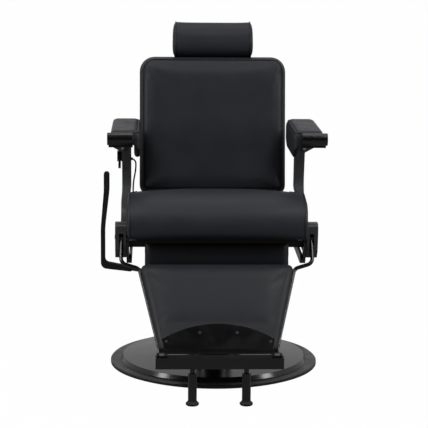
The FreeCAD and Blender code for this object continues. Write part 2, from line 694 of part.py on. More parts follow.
def rounded(corners, plane, level):
    """A closed wire through corners (a, b, radius), each rounded by a tangent arc."""
    flat = [(Vector(float(a), float(b), 0), float(radius)) for a, b, radius in corners]
    put = PLANES[plane]
    edges = []
    ends = []
    for index, (corner, radius) in enumerate(flat):
        before = flat[index - 1][0] - corner
        after = flat[(index + 1) % len(flat)][0] - corner
        half = before.getAngle(after) / 2
        room = 0.49 * min(before.Length, after.Length)
        reach = min(radius / math.tan(half), room)
        radius = reach * math.tan(half)
        start = corner + before.normalize() * reach
        stop = corner + after.normalize() * reach
        middle = before + after
        tip = corner + middle.normalize() * (radius / math.sin(half) - radius)
        ends.append((start, tip, stop))
    level = float(level)
    for index, (start, tip, stop) in enumerate(ends):
        if start.distanceToPoint(stop) > 1e-6:
            edges.append(Part.Arc(*[put(p.x, p.y, level) for p in (start, tip, stop)]).toShape())
        following = ends[(index + 1) % len(ends)][0]
        if stop.distanceToPoint(following) > 1e-6:
            edges.append(Part.LineSegment(*[put(p.x, p.y, level) for p in (stop, following)]).toShape())
    return Part.Wire(edges)


def slab(corners, plane, start, stop):
    """A rounded outline drawn out across its plane from one level to another."""
    face = Part.Face(rounded(corners, plane, start))
    return face.extrude(PLANES[plane](0, 0, float(stop) - float(start)))


def pillow(top, front, side):
    """A soft block: what three rounded outlines, from above, ahead and beside, have in common."""
    xs = [float(corner[0]) for corner in front]
    ys = [float(corner[0]) for corner in side]
    zs = [float(corner[1]) for corner in side]
    body = slab(front, "xz", min(ys) - 1, max(ys) + 1)
    body = body.common(slab(side, "yz", min(xs) - 1, max(xs) + 1))
    if top:
        body = body.common(slab(top, "xy", min(zs) - 1, max(zs) + 1))
    return body.Solids[0]


def box_corners(low_a, high_a, low_b, high_b, low_radius, high_radius):
    """Four corners of an upright outline, with radii for its lower and upper corners."""
    return [
        (low_a, low_b, low_radius),
        (high_a, low_b, low_radius),
        (high_a, high_b, high_radius),
        (low_a, high_b, high_radius),
    ]


def bar(axis_point, diameter, end_x):
    """A plain cylinder shape along X, from a point to the given x."""
    length = float(end_x) - axis_point.x
    way = Vector(math.copysign(1, length), 0, 0)
    return Part.makeCylinder(float(diameter) / 2, abs(length), axis_point, way)


def pipe(points, diameter, radii):
    """A bent round bar: straight runs joined by tangent arcs at the inner points."""
    edges = []
    last = points[0]
    for before, corner, after, radius in zip(points, points[1:], points[2:], radii):
        back = before - corner
        ahead = after - corner
        half = back.getAngle(ahead) / 2
        reach = radius / math.tan(half)
        start = corner + back.normalize() * reach
        stop = corner + ahead.normalize() * reach
        tip = corner + (back + ahead).normalize() * (radius / math.sin(half) - radius)
        edges.append(Part.LineSegment(last, start).toShape())
        edges.append(Part.Arc(start, tip, stop).toShape())
        last = stop
    edges.append(Part.LineSegment(last, points[-1]).toShape())
    path = Part.Wire(edges)
    circle = Part.Circle(points[0], points[1] - points[0], float(diameter) / 2)
    return path.makePipeShell([Part.Wire(circle.toShape())], True, True)


def tapered_plate(first, first_diameter, second, second_diameter, start_x, stop_x):
    """A flat crank or link: two round ends joined by tangent sides, drawn out along X."""
    big = float(first_diameter) / 2
    small = float(second_diameter) / 2
    run = second - first
    along = Vector(run).normalize()
    across = Vector(0, -along.z, along.y)
    slope = (big - small) / run.Length
    rise = math.sqrt(1 - slope * slope)
    points = []
    for centre, radius in ((first, big), (second, small)):
        for turn in (1, -1):
            points.append(centre + (along * slope + across * (rise * turn)) * radius)
    a_up, a_down, b_up, b_down = points
    edges = [
        Part.Arc(a_up, first - along * big, a_down).toShape(),
        Part.LineSegment(a_down, b_down).toShape(),
        Part.Arc(b_down, second + along * small, b_up).toShape(),
        Part.LineSegment(b_up, a_up).toShape(),
    ]
    face = Part.Face(Part.Wire(edges))
    face.translate(Vector(float(start_x), 0, 0))
    return face.extrude(Vector(float(stop_x) - float(start_x), 0, 0))


def sided(shape, sign):
    """The left piece as it is, or its mirror image for the right."""
    return shape if sign > 0 else shape.mirror(Vector(), Vector(1, 0, 0))


def pair(shape):
    """The left piece and its mirror image, as one sub-part."""
    return Part.makeCompound([shape, sided(shape, -1)])


def crank_tip(y, z):
    """The crank's pin below a hinge axis, at rest."""
    angle = math.radians(float(s.crank_back))
    reach = float(s.crank_length)
    return Vector(0, float(y) + reach * math.sin(angle), float(z) - reach * math.cos(angle))


def leg_point(x, along, ahead=0):
    """A point of the leg rest: along its slope from the hinge, and ahead of its plane."""
    angle = math.radians(float(s.leg_slope))
    y = float(leg_y) - float(along) * math.sin(angle) - float(ahead) * math.cos(angle)
    z = float(leg_z) - float(along) * math.cos(angle) + float(ahead) * math.sin(angle)
    return Vector(float(x), y, z)


def build_base():
    pad_radius = s.base_diameter / 2 - s.floor_pad_inset
    keep("floor_pad", rod("z", (0, 0, 0), pad_radius * 2, s.floor_pad_thickness))
    outer = s.base_diameter / 2
    dome = s.dome_diameter / 2
    inner = dome - s.dome_seat
    keep("base_ring", turned([
        (inner, ring_bottom),
        (outer, ring_bottom),
        (outer, ring_top - s.ring_edge),
        (outer - s.ring_edge, ring_top),
        (inner, ring_top),
    ]))
    land = s.dome_land_diameter / 2
    shoulder = dome - s.dome_step_slope
    dome_body = turned([
        (inner, ring_top),
        (dome, ring_top),
        (shoulder, step_top),
        (land, dome_top),
        (0, dome_top),
        (0, dome_top - s.dome_wall),
        (land, dome_top - s.dome_wall),
        (shoulder - s.dome_wall, step_top - s.dome_wall),
    ])
    hole = s.column_bolt_diameter + s.bolt_clearance * 2
    keep("base_dome", drill_circle(dome_body, s.column_bolt_circle, hole, len(COLUMN_BOLTS)))


def build_column():
    tube = s.column_diameter / 2
    bore = s.column_bore / 2
    flange = s.flange_diameter / 2
    flange_top = dome_top + s.flange_thickness
    floor = dome_top + s.column_floor
    column = turned([
        (0, dome_top),
        (flange, dome_top),
        (flange, flange_top),
        (tube, flange_top),
        (tube, column_top),
        (bore, column_top),
        (bore, floor),
        (0, floor),
    ])
    hole = s.column_bolt_diameter + s.bolt_clearance * 2
    keep("column_tube", drill_circle(column, s.column_bolt_circle, hole, len(COLUMN_BOLTS)))
    bolts = []
    shank = s.flange_thickness + s.dome_wall
    for degrees in COLUMN_BOLTS:
        angle = math.radians(degrees)
        x = s.column_bolt_circle / 2 * math.cos(angle)
        y = s.column_bolt_circle / 2 * math.sin(angle)
        head = bolt_head("z", (x, y, flange_top), s.column_bolt_diameter)
        bolts.append(fuse(head, rod("z", (x, y, flange_top - shank), s.column_bolt_diameter, shank)))
    keep("column_bolts", group(*bolts))
    ram_bore = s.ram_diameter / 2 + s.running_clearance
    bush = bore - s.running_clearance
    bush_bottom = column_top - s.bush_length
    gland = tube + s.gland_overhang
    keep("gland_bush", turned([
        (ram_bore, bush_bottom),
        (bush, bush_bottom),
        (bush, column_top),
        (gland, column_top),
        (gland, gland_top - s.gland_overhang),
        (gland - s.gland_overhang, gland_top),
        (ram_bore, gland_top),
    ]))


def build_lift():
    ram = s.ram_diameter / 2
    bore = s.push_rod_diameter / 2 + s.running_clearance
    foot = dome_top + s.column_floor + s.ram_floor_gap
    keep("ram", turned([
        (0, foot),
        (ram, foot),
        (ram, ram_top),
        (bore, ram_top),
        (bore, foot + s.ram_plug),
        (0, foot + s.ram_plug),
    ]))
    keep("thrust_washer", turned([
        (bore, ram_top),
        (ram, ram_top),
        (ram, washer_top),
        (bore, washer_top),
    ]))
    rod_bottom = foot + s.ram_plug + s.push_rod_gap
    rod_top = lever_pin_z - s.lever_rod_diameter / 2 - s.side_gap
    keep("push_rod", rod("z", (0, 0, rod_bottom), s.push_rod_diameter, rod_top - rod_bottom))


def build_pump_head():
    head = s.head_diameter / 2
    ram_bore = s.ram_diameter / 2 + s.running_clearance
    push_bore = s.push_rod_diameter / 2 + s.bolt_clearance
    half_slot = s.lever_slot_width / 2
    body = turned([
        (ram_bore, head_bottom),
        (head, head_bottom),
        (head, head_top),
        (0, head_top),
        (0, head_top - s.seat_screw_depth * 2),
        (push_bore, head_top - s.seat_screw_depth * 2),
        (push_bore, washer_top),
        (ram_bore, washer_top),
    ])
    slot_floor = washer_top + s.washer_thickness
    slot_end = s.lever_pin_offset + s.lever_eye_diameter / 2 + s.lever_eye_room
    slot = block(
        (-head - PAST, -half_slot, slot_floor),
        (slot_end, half_slot, slot_floor + s.lever_slot_height),
    )
    mouth = block(
        (-head - PAST, -half_slot, lever_pin_z - s.lever_slot_below),
        (-ram_bore - s.lever_mouth_wall, half_slot, lever_pin_z),
    )
    pin_hole = rod(
        "y",
        (s.lever_pin_offset, -head, lever_pin_z),
        s.lever_pin_diameter + s.running_clearance * 2,
        s.head_diameter,
    )
    half = s.seat_screw_spacing / 2
    hole = s.seat_screw_diameter + s.bolt_clearance * 2
    corners = [(half * a, half * b) for a in (-1, 1) for b in (-1, 1)]
    hole_floor = head_top - s.seat_screw_depth
    holes = [rod("z", (x, y, hole_floor), hole, s.seat_screw_depth * 2) for x, y in corners]
    keep("pump_head", cut(body, slot, mouth, pin_hole, *holes))

    plate = block(
        (-s.seat_plate_width / 2, -s.seat_plate_front, head_top),
        (s.seat_plate_width / 2, s.seat_plate_rear, seat_plate_top),
    )
    through = [rod("z", (x, y, head_top), hole, s.seat_plate_thickness) for x, y in corners]
    keep("seat_plate", cut(plate, *through))
    screws = []
    for x, y in corners:
        shank_bottom = head_top - s.seat_screw_depth + s.side_gap
        shank = rod("z", (x, y, shank_bottom), s.seat_screw_diameter, seat_plate_top - shank_bottom)
        screws.append(fuse(bolt_head("z", (x, y, seat_plate_top), s.seat_screw_diameter), shank))
    keep("seat_plate_screws", group(*screws))


def square_tube(low, high, along):
    """A square tube between two corners, hollow along X or Y."""
    wall = s.tube_wall
    inner_low = [number + wall for number in low]
    inner_high = [number - wall for number in high]
    index = "xyz".index(along)
    inner_low[index] = low[index] - wall
    inner_high[index] = high[index] + wall
    return cut(block(low, high), block(inner_low, inner_high))


def build_seat_frame():
    half = s.cross_width / 2
    cross_tubes = []
    for middle in (-s.cross_front, s.cross_rear):
        low = (-s.cross_half_length, middle - half, seat_plate_top)
        high = (s.cross_half_length, middle + half, cross_top)
        cross_tubes.append(square_tube(low, high, "x"))
    keep("seat_cross_tubes", group(*cross_tubes))
    rails = []
    for sign in (1, -1):
        inner, outer = sorted((s.rail_inner * sign, rail_outer * sign), key=float)
        low = (inner, -s.rail_front, cross_top)
        high = (outer, s.rail_rear, frame_top)
        rails.append(square_tube(low, high, "y"))
    keep("seat_rails", group(*rails))
    build_hinge_plates()
    build_arm_mounts()


def build_hinge_plates():
    radius = float(s.hinge_shaft_diameter)
    front = s.rail_rear - s.hinge_plate_lap
    outline = [
        (front, cross_top, s.plate_corner),
        (back_y + radius, cross_top, s.plate_corner),
        (back_y + radius, back_z + radius, radius),
        (back_y - radius, back_z + radius, radius),
        (front, frame_top, s.plate_corner),
    ]
    plate = slab(outline, "yz", rail_outer, hinge_outer)
    axis = Vector(0, float(back_y), float(back_z))
    bore = bar(axis, s.hinge_shaft_diameter + s.running_clearance * 2, FAR)
    keep("back_hinge_plates", solid(pair(plate.cut(bore))))


# The three bolts of an arm frame: shares of the half span between the cross tubes, and of the mount's height
ARM_BOLTS = ((-0.86, 0.5), (0, 0.35), (0.86, 0.5))


def arm_bolt_places():
    """Points (y, z) of the three bolts between an arm frame and its mount plate."""
    middle = (float(s.cross_rear) - float(s.cross_front)) / 2
    span = (float(s.cross_rear) + float(s.cross_front)) / 2
    bottom = float(cross_top) - float(s.arm_mount_height)
    return [(middle + span * a, bottom + float(s.arm_mount_height) * b) for a, b in ARM_BOLTS]


def build_arm_mounts():
    bolt = float(s.arm_bolt_diameter)
    low_y = -float(s.cross_front) - bolt
    high_y = float(s.cross_rear) + bolt
    bottom = cross_top - s.arm_mount_height
    outline = box_corners(low_y, high_y, bottom, cross_top, s.plate_corner, s.plate_corner)
    plate = slab(outline, "yz", s.cross_half_length, s.arm_inner_low)
    for y, z in arm_bolt_places():
        plate = plate.cut(bar(Vector(0, y, z), bolt + 2 * float(s.bolt_clearance), FAR))
    keep("arm_mount_plates", solid(pair(plate)))


# Share of a right corner's radius that the slanting tangent at the middle of its arc cuts off
CORNER_SHARE = 2 - math.sqrt(2)


def build_seat():
    half = s.seat_width / 2
    inset = s.seat_board_inset
    board_low = (-half + inset, -s.seat_front + inset, frame_top)
    board_high = (half - inset, s.seat_rear - inset, frame_top + s.board_thickness)
    keep("seat_board", block(board_low, board_high))
    seat_bottom = frame_top + s.board_thickness + s.soft_clearance
    top = frame_top + s.seat_height
    front = -s.seat_front
    roll = s.seat_nose_high
    cut_off = roll * CORNER_SHARE
    slope = s.seat_fall / (s.seat_front + s.seat_rear)
    cushion = pillow(
        box_corners(-half, half, front, s.seat_rear, s.seat_corner_front, s.seat_corner_rear),
        box_corners(-half, half, seat_bottom, top, s.seat_edge_low, s.seat_edge_high),
        [
            (front, seat_bottom, s.seat_nose_low),
            (s.seat_rear, seat_bottom, s.seat_heel_low),
            (s.seat_rear, top - s.seat_fall, s.seat_heel_high),
            (front + cut_off, top - slope * cut_off, roll),
            (front, top - cut_off, roll),
        ],
    )
    keep("seat_cushion", solid(cushion))

    bottom = frame_top - s.apron_height
    board_front = -s.rail_front - s.apron_board_thickness
    wide = s.apron_half_width
    board_half = wide - s.apron_board_margin
    board_box = block((-board_half, board_front, bottom), (board_half, -s.rail_front, frame_top))
    keep("apron_board", board_box)
    apron_front = board_front - s.apron_thickness
    high_edge = frame_top - s.apron_seam
    apron = pillow(
        None,
        box_corners(-wide, wide, bottom, high_edge, s.apron_corner_low, s.apron_corner_high),
        [
            (apron_front, bottom, s.apron_roll),
            (board_front, bottom, s.apron_seam),
            (board_front, high_edge, s.apron_seam),
            (apron_front, high_edge, s.apron_roll),
        ],
    )
    keep("front_apron", solid(apron))


def arm_side_outline():
    """The arm frame from the side: hinge nose, foot, body and post, with corner radii."""
    small = s.arm_corner_small
    middle = s.arm_corner_middle
    large = s.arm_corner_large
    edge = s.plate_corner
    foot_z = cross_top - s.arm_foot_drop
    waist_z = leg_z + s.arm_waist_rise
    post_z = leg_z + s.arm_post_rise
    nose_y = leg_y - s.arm_nose_ahead
    front_y = s.arm_post_front_high
    return [
        (nose_y, leg_z + s.arm_nose_rise, middle),
        (nose_y, leg_z + s.arm_nose_drop, small),
        (leg_y - s.arm_chin_ahead, leg_z - s.arm_chin_drop, middle),
        (leg_y + s.arm_toe_behind, leg_z - s.arm_toe_drop, middle),
        (leg_y + s.arm_heel_behind, leg_z - s.arm_heel_drop, middle),
        (leg_y + s.arm_foot_start, foot_z, middle),
        (s.cross_rear + s.arm_foot_rear, foot_z, middle),
        (s.cross_rear + s.arm_hip_rear, leg_z + s.arm_hip_rise, large),
        (s.arm_post_rear_low, post_z, large),
        (s.arm_post_rear_high, arm_top, edge),
        (front_y, arm_top, edge),
        (front_y, arm_top - s.arm_gusset_drop, large),
        (s.arm_post_front_low, post_z, large),
        (s.arm_waist_front, waist_z, large),
        (leg_y + s.arm_neck_behind, waist_z, middle),
        (leg_y + s.arm_drum_behind, leg_z + s.arm_nose_rise, middle),
    ]


def arm_front_solid():
    """The arm frame from ahead: its post bows in behind the seat and flares out at the top."""
    low = float(leg_z - s.arm_toe_drop) - PAST
    bow_low = float(leg_z + s.arm_bow_start)
    bow_high = float(arm_top - s.arm_bow_end)
    top = float(arm_top)
    inner_low = float(s.arm_inner_low)
    outer_low = float(s.arm_body_outer)
    inner_high = float(s.arm_inner_high)
    outer_high = float(s.arm_outer_high)
    inner = bow(inner_low, bow_low, inner_high, bow_high)
    outer = bow(outer_low, bow_low, outer_high, bow_high)
    corners = [(inner_low, low), (outer_low, low), (float(s.arm_flare), top), (inner_high, top)]
    bottom_in, bottom_out, top_out, top_in = [Vector(x, 0, z) for x, z in corners]
    flare_z = float(arm_top - s.arm_flare_drop)
    flare = Vector(outer_high, 0, flare_z)
    shoulder = Vector(top_out.x, 0, flare_z + float(s.arm_flare_rise))
    edges = [
        Part.LineSegment(bottom_in, bottom_out).toShape(),
        Part.LineSegment(bottom_out, outer.StartPoint).toShape(),
        outer.toShape(),
        Part.LineSegment(outer.EndPoint, flare).toShape(),
        Part.LineSegment(flare, shoulder).toShape(),
        Part.LineSegment(shoulder, top_out).toShape(),
        Part.LineSegment(top_out, top_in).toShape(),
        Part.LineSegment(top_in, inner.EndPoint).toShape(),
        inner.toShape(),
        Part.LineSegment(inner.StartPoint, bottom_in).toShape(),
    ]
    face = Part.Face(Part.Wire(edges))
    face.translate(Vector(0, -FAR, 0))
    return face.extrude(Vector(0, 2 * FAR, 0))


def arm_nose_solid():
    """The wide hinge nose from above, with a slope back to the thinner body."""
    inner = float(s.arm_inner_low)
    outer = float(s.arm_outer_low)
    nose_end = float(leg_y + s.arm_nose_behind)
    body_start = nose_end + float(s.arm_nose_ramp)
    corners = [
        (inner, -FAR), (outer, -FAR), (outer, nose_end),
        (float(s.arm_body_outer), body_start), (inner, body_start),
    ]
    points = [Vector(x, y, -FAR) for x, y in corners]
    face = Part.Face(Part.makePolygon(points + points[:1]))
    return face.extrude(Vector(0, 0, 2 * FAR))


def bow(low_x, low_z, high_x, high_z):
    """A smooth side step between two upright lines, as a cubic curve."""
    pull = (high_z - low_z) * BOW_PULL
    curve = Part.BezierCurve()
    curve.setPoles([
        Vector(low_x, 0, low_z),
        Vector(low_x, 0, low_z + pull),
        Vector(high_x, 0, high_z - pull),
        Vector(high_x, 0, high_z),
    ])
    return curve


def cap_nut_place():
    """The bright nut on the front of the post: its face at x, y, z."""
    x = float(s.arm_outer_high - s.cap_nut_inset)
    return Vector(x, float(s.arm_post_front_high), float(arm_top - s.cap_nut_drop))


def build_arm_frame(name, sign):
    profile = arm_front_solid().fuse(arm_nose_solid())
    frame = slab(arm_side_outline(), "yz", 0, FAR).common(profile).removeSplitter()
    axis = Vector(0, float(leg_y), float(leg_z))
    half_slot = float(s.leg_rod_diameter) / 2 + float(s.leg_slot_clearance)
    boss = float(s.leg_boss_diameter) / 2 + float(s.leg_slot_clearance)
    slot_low = Vector(float(s.leg_rod_offset) - half_slot, axis.y - FAR, axis.z - FAR)
    slot = Part.makeBox(2 * half_slot, FAR + boss, FAR + boss, slot_low)
    frame = frame.cut(slot)
    frame = frame.cut(bar(axis, s.leg_shaft_diameter + s.running_clearance * 2, FAR))
    bolt_hole = s.arm_bolt_diameter + s.bolt_clearance * 2
    for y, z in arm_bolt_places():
        frame = frame.cut(bar(Vector(0, y, z), bolt_hole, FAR))
    stud = float(s.cap_stud_diameter) / 2 + float(s.bolt_clearance)
    stud_hole = float(s.cap_stud_depth) + PAST
    frame = frame.cut(Part.makeCylinder(stud, stud_hole, cap_nut_place(), Vector(0, 1, 0)))
    frame = sided(frame, sign)
    if sign < 0:
        frame = frame.cut(bar(cable_start(), s.cable_diameter + s.bolt_clearance * 2, -FAR))
    keep(f"arm_frame_{name}", solid(frame.Solids[0]))


def build_arm(name, sign):
    build_arm_frame(name, sign)
    roll_z = arm_plate_top + s.arm_roll_diameter / 2 - s.arm_roll_sink
    inner, outer = sorted((s.arm_plate_inner * sign, s.arm_plate_outer * sign), key=float)
    plate = block((inner, -s.arm_roll_front, arm_top), (outer, s.arm_plate_rear, arm_plate_top))
    roll_start = s.arm_plate_inner if sign > 0 else -s.arm_roll_outer
    roll_length = s.arm_roll_outer - s.arm_plate_inner
    roll = rod("x", (roll_start, -s.arm_roll_front, roll_z), s.arm_roll_diameter, roll_length)
    keep(f"arm_plate_{name}", fuse(plate, roll))

    top = arm_plate_top + s.arm_pad_height
    bottom = arm_plate_top - s.arm_pad_skirt
    skirt = s.arm_pad_inner + s.arm_pad_skirt_thickness
    section = [
        (s.arm_pad_inner, bottom, s.arm_pad_skirt_edge),
        (skirt, bottom, s.arm_pad_skirt_edge),
        (skirt, arm_plate_top, s.arm_pad_crease),
        (s.arm_pad_outer, arm_plate_top, s.arm_pad_lip),
        (s.arm_pad_outer, top, s.arm_pad_edge_outer),
        (s.arm_pad_inner, top, s.arm_pad_edge_inner),
    ]
    front = -s.arm_pad_front
    side = [
        (front, arm_top, s.arm_pad_toe),
        (front + s.arm_pad_slope_front, bottom, s.arm_pad_sweep_front),
        (s.arm_pad_rear - s.arm_pad_slope_rear, bottom, s.arm_pad_sweep_rear),
        (s.arm_pad_rear, arm_top, s.arm_pad_heel),
        (s.arm_pad_rear, top, s.arm_pad_edge_rear),
        (front, top, s.arm_pad_edge_front),
    ]
    keep(f"arm_pad_{name}", solid(sided(pillow(None, section, side), sign)))


def build_arm_fixings():
    bolts = []
    nuts = []
    head = s.arm_bolt_diameter * HEAD_HEIGHT
    shank = s.arm_body_outer - s.cross_half_length
    for sign in (1, -1):
        for y, z in arm_bolt_places():
            start = s.cross_half_length if sign > 0 else -s.arm_body_outer
            head_start = s.arm_body_outer if sign > 0 else -s.arm_body_outer - head
            shank_piece = rod("x", (start, y, z), s.arm_bolt_diameter, shank)
            bolts.append(fuse(bolt_head("x", (head_start, y, z), s.arm_bolt_diameter), shank_piece))
        place = cap_nut_place()
        x = place.x * sign
        nut = hexagon("y", (x, place.y - s.cap_nut_height, place.z), s.cap_nut_diameter, s.cap_nut_height)
        nuts.append(fuse(nut, rod("y", (x, place.y, place.z), s.cap_stud_diameter, s.cap_stud_depth)))
    keep("arm_frame_bolts", group(*bolts))
    keep("arm_cap_nuts", group(*nuts))


def build_lever():
    turn = math.radians(float(s.lever_grip_tilt))
    pin = Vector(float(s.lever_pin_offset), 0, float(lever_pin_z))
    bend = pin - Vector(float(s.lever_bend_reach), 0, 0)
    slope = Vector(-math.cos(turn), 0, math.sin(turn))
    up = Vector(math.sin(turn), 0, math.cos(turn))
    to_start = (float(s.lever_grip_start) - float(s.lever_bend_reach)) / math.cos(turn)
    start = bend + slope * to_start
    tip = start + slope * float(s.lever_tenon)
    arm_start = pin - Vector(float(s.lever_eye_diameter) / 3, 0, 0)
    arm = pipe([arm_start, bend, tip], s.lever_rod_diameter, [float(s.lever_bend_radius)])
    half = (float(s.lever_slot_width) / 2) - float(s.side_gap)
    eye_start = pin - Vector(0, half, 0)
    arm = arm.fuse(Part.makeCylinder(float(s.lever_eye_diameter) / 2, 2 * half, eye_start, Vector(0, 1, 0)))
    chord = math.sqrt((float(s.head_diameter) / 2) ** 2 - pin.x**2) + float(s.lever_pin_stand)
    pin_radius = float(s.lever_pin_diameter) / 2
    arm = arm.fuse(Part.makeCylinder(pin_radius, 2 * chord, pin - Vector(0, chord, 0), Vector(0, 1, 0)))
    keep("lever_arm", solid(arm.removeSplitter()))

    corner = start + slope * ((float(s.lever_grip_reach) - float(s.lever_grip_start)) / math.cos(turn))
    inner = float(s.lever_grip_inner) / 2
    thick = float(s.lever_grip_corner) / 2
    neck = float(s.lever_grip_neck) / 2
    head = float(s.lever_grip_head) / 2
    top = pin.z + float(s.lever_grip_top)
    low_in = start - up * inner
    high_in = start + up * inner
    outer_x = corner.x - neck
    inner_x = corner.x + neck
    head_x = corner.x + float(s.lever_grip_lean)
    crown_z = top - float(s.lever_grip_crown)
    neck_z = corner.z + float(s.lever_grip_straight)
    outline = [
        (low_in.x, low_in.z, s.lever_grip_edge),
        (high_in.x, high_in.z, s.lever_grip_edge),
        (inner_x, (corner + up * thick).z, s.lever_grip_elbow_inside),
        (inner_x, neck_z, s.lever_grip_curve_low),
        (head_x + head, crown_z, s.lever_grip_curve_high),
        (head_x + head, top, head),
        (head_x - head, top, head),
        (head_x - head, crown_z, s.lever_grip_curve_high),
        (outer_x, neck_z, s.lever_grip_curve_low),
        (outer_x, (corner - up * thick).z, s.lever_grip_elbow_outside),
    ]
    depth = float(s.lever_grip_depth) / 2
    grip = slab(outline, "xz", -depth, depth)
    socket_radius = float(s.lever_rod_diameter) / 2 + float(s.running_clearance)
    mouth = float(s.lever_rod_diameter)
    socket = Part.makeCylinder(socket_radius, float(s.lever_tenon) + mouth, start - slope * mouth, slope)
    keep("lever_grip", solid(grip.cut(socket)))


def build_back_shaft():
    """The hinge shaft of the back with its two link cranks and the forked strut crank welded on."""
    tip = crank_tip(back_y, back_z)
    axis = Vector(0, float(back_y), float(back_z))
    half_length = float(crank_outer)
    shaft = bar(axis - Vector(half_length, 0, 0), s.hinge_shaft_diameter, half_length)
    crank = tapered_plate(axis, s.crank_eye_diameter, tip, s.crank_tip_diameter, crank_inner, crank_outer)
    crank = crank.fuse(bar(Vector(float(link_inner), tip.y, tip.z), s.crank_pin_diameter, crank_outer))
    for sign in (1, -1):
        shaft = shaft.fuse(sided(crank, sign))
    left = -float(s.strut_offset)
    thick = float(s.strut_crank_thickness)
    gap = float(s.strut_eye_thickness) / 2 + float(s.side_gap)
    for low in (left - gap - thick, left + gap):
        arm = tapered_plate(axis, s.crank_eye_diameter, tip, s.strut_crank_tip, low, low + thick)
        shaft = shaft.fuse(arm)
    pin_start = Vector(left - gap - thick, tip.y, tip.z)
    shaft = shaft.fuse(bar(pin_start, s.strut_pin_diameter, left + gap + thick))
    keep("back_hinge_shaft", solid(shaft.removeSplitter()))


def build_back():
    build_back_shaft()
    front = -s.frame_front
    rear = front + s.upright_depth
    side_outer = rail_outer - s.upright_inset
    side_inner = side_outer - s.plate_thickness
    eye = float(s.hinge_shaft_diameter)
    outline = [
        (front, -eye, eye / 2),
        (rear, -eye, eye / 2),
        (rear, s.upright_height, s.plate_corner),
        (front, s.upright_height, s.plate_corner),
    ]
    plate = slab(outline, "yz", side_inner, side_outer)
    plate = plate.cut(bar(Vector(), s.hinge_shaft_diameter + s.running_clearance * 2, FAR))
    keep("back_side_plates", on_back(solid(pair(plate))))

    guide = s.post_diameter + s.guide_wall * 2
    post_y = front + s.upright_depth / 2
    half_spacing = s.post_spacing / 2
    cover_top = s.back_top - s.cover_inset
    tubes = []
    guide_hole = guide + s.running_clearance * 2
    screw_hole = s.cover_screw_diameter + s.bolt_clearance * 2
    screw_floor = rear - s.cover_screw_depth
    for low in (s.back_tube_low, s.back_tube_high):
        tube = square_tube((-side_inner, front, low), (side_inner, rear, low + s.back_tube_height), "x")
        if low is s.back_tube_high:
            holes = [
                rod("z", (half_spacing * sign, post_y, low), guide_hole, s.back_tube_height)
                for sign in (1, -1)
            ]
            tube = cut(tube, *holes)
        screw_holes = [
            rod("y", (x, screw_floor, low + s.back_tube_height / 2), screw_hole, s.cover_screw_depth)
            for x in cover_screw_columns()
        ]
        tubes.append(cut(tube, *screw_holes))
    keep("back_cross_tubes", on_back(group(*tubes)))
    build_guides(guide, post_y, half_spacing, cover_top)
    build_back_cover(front, rear, side_inner, guide, post_y, half_spacing, cover_top)
    build_back_soft(front)


def cover_screw_columns():
    return (-s.cover_screw_offset, 0, s.cover_screw_offset)


def build_guides(guide, post_y, half_spacing, cover_top):
    guides = []
    length = cover_top + s.guide_stand - s.guide_bottom
    bore = s.post_diameter + s.running_clearance * 2
    for sign in (1, -1):
        place = (half_spacing * sign, post_y, s.guide_bottom)
        guides.append(cut(rod("z", place, guide, length), rod("z", place, bore, length)))
    keep("headrest_guides", on_back(group(*guides)))


def build_back_cover(front, rear, side_inner, guide, post_y, half_spacing, cover_top):
    half = s.back_half_width - s.cover_inset
    bottom = s.back_bottom + s.cover_inset
    wall = s.cover_wall
    open_front = front - s.board_thickness
    low_corner = s.cover_corner_low
    high_corner = s.cover_corner_high
    outline = box_corners(-half, half, bottom, cover_top, low_corner, high_corner)
    inside = box_corners(
        -half + wall, half - wall, bottom + wall, cover_top - wall, low_corner - wall, high_corner - wall
    )
    shell = slab(outline, "xz", open_front, rear + wall)
    shell = shell.cut(slab(inside, "xz", open_front - PAST, rear))
    guide_hole = float(guide) / 2 + float(s.bolt_clearance)
    for sign in (1, -1):
        place = Vector(float(half_spacing) * sign, float(post_y), float(cover_top - wall * 2))
        shell = shell.cut(Part.makeCylinder(guide_hole, float(wall) * 4, place))
        slot_x = side_inner if sign > 0 else -side_inner - s.plate_thickness
        low = Vector(float(slot_x) - PAST, float(front) - PAST, float(bottom) - PAST)
        slot_width = float(s.plate_thickness) + 2 * PAST
        slot_depth = float(s.upright_depth) + PAST
        shell = shell.cut(Part.makeBox(slot_width, slot_depth, float(wall) + 2 * PAST, low))
    screws = []
    hole = float(s.cover_screw_diameter) / 2 + float(s.bolt_clearance)
    for low in (s.back_tube_low, s.back_tube_high):
        z = low + s.back_tube_height / 2
        for x in cover_screw_columns():
            place = Vector(float(x), float(rear) - PAST, float(z))
            shell = shell.cut(Part.makeCylinder(hole, float(wall) + 2 * PAST, place, Vector(0, 1, 0)))
            shank_start = rear - s.cover_screw_depth + s.side_gap
            shank = rod("y", (x, shank_start, z), s.cover_screw_diameter, rear + wall - shank_start)
            head = rod("y", (x, rear + wall, z), s.cover_screw_diameter * 2, s.cover_screw_diameter * 0.5)
            screws.append(fuse(shank, head))
    keep("back_cover", on_back(solid(shell)))
    keep("back_cover_screws", on_back(group(*screws)))


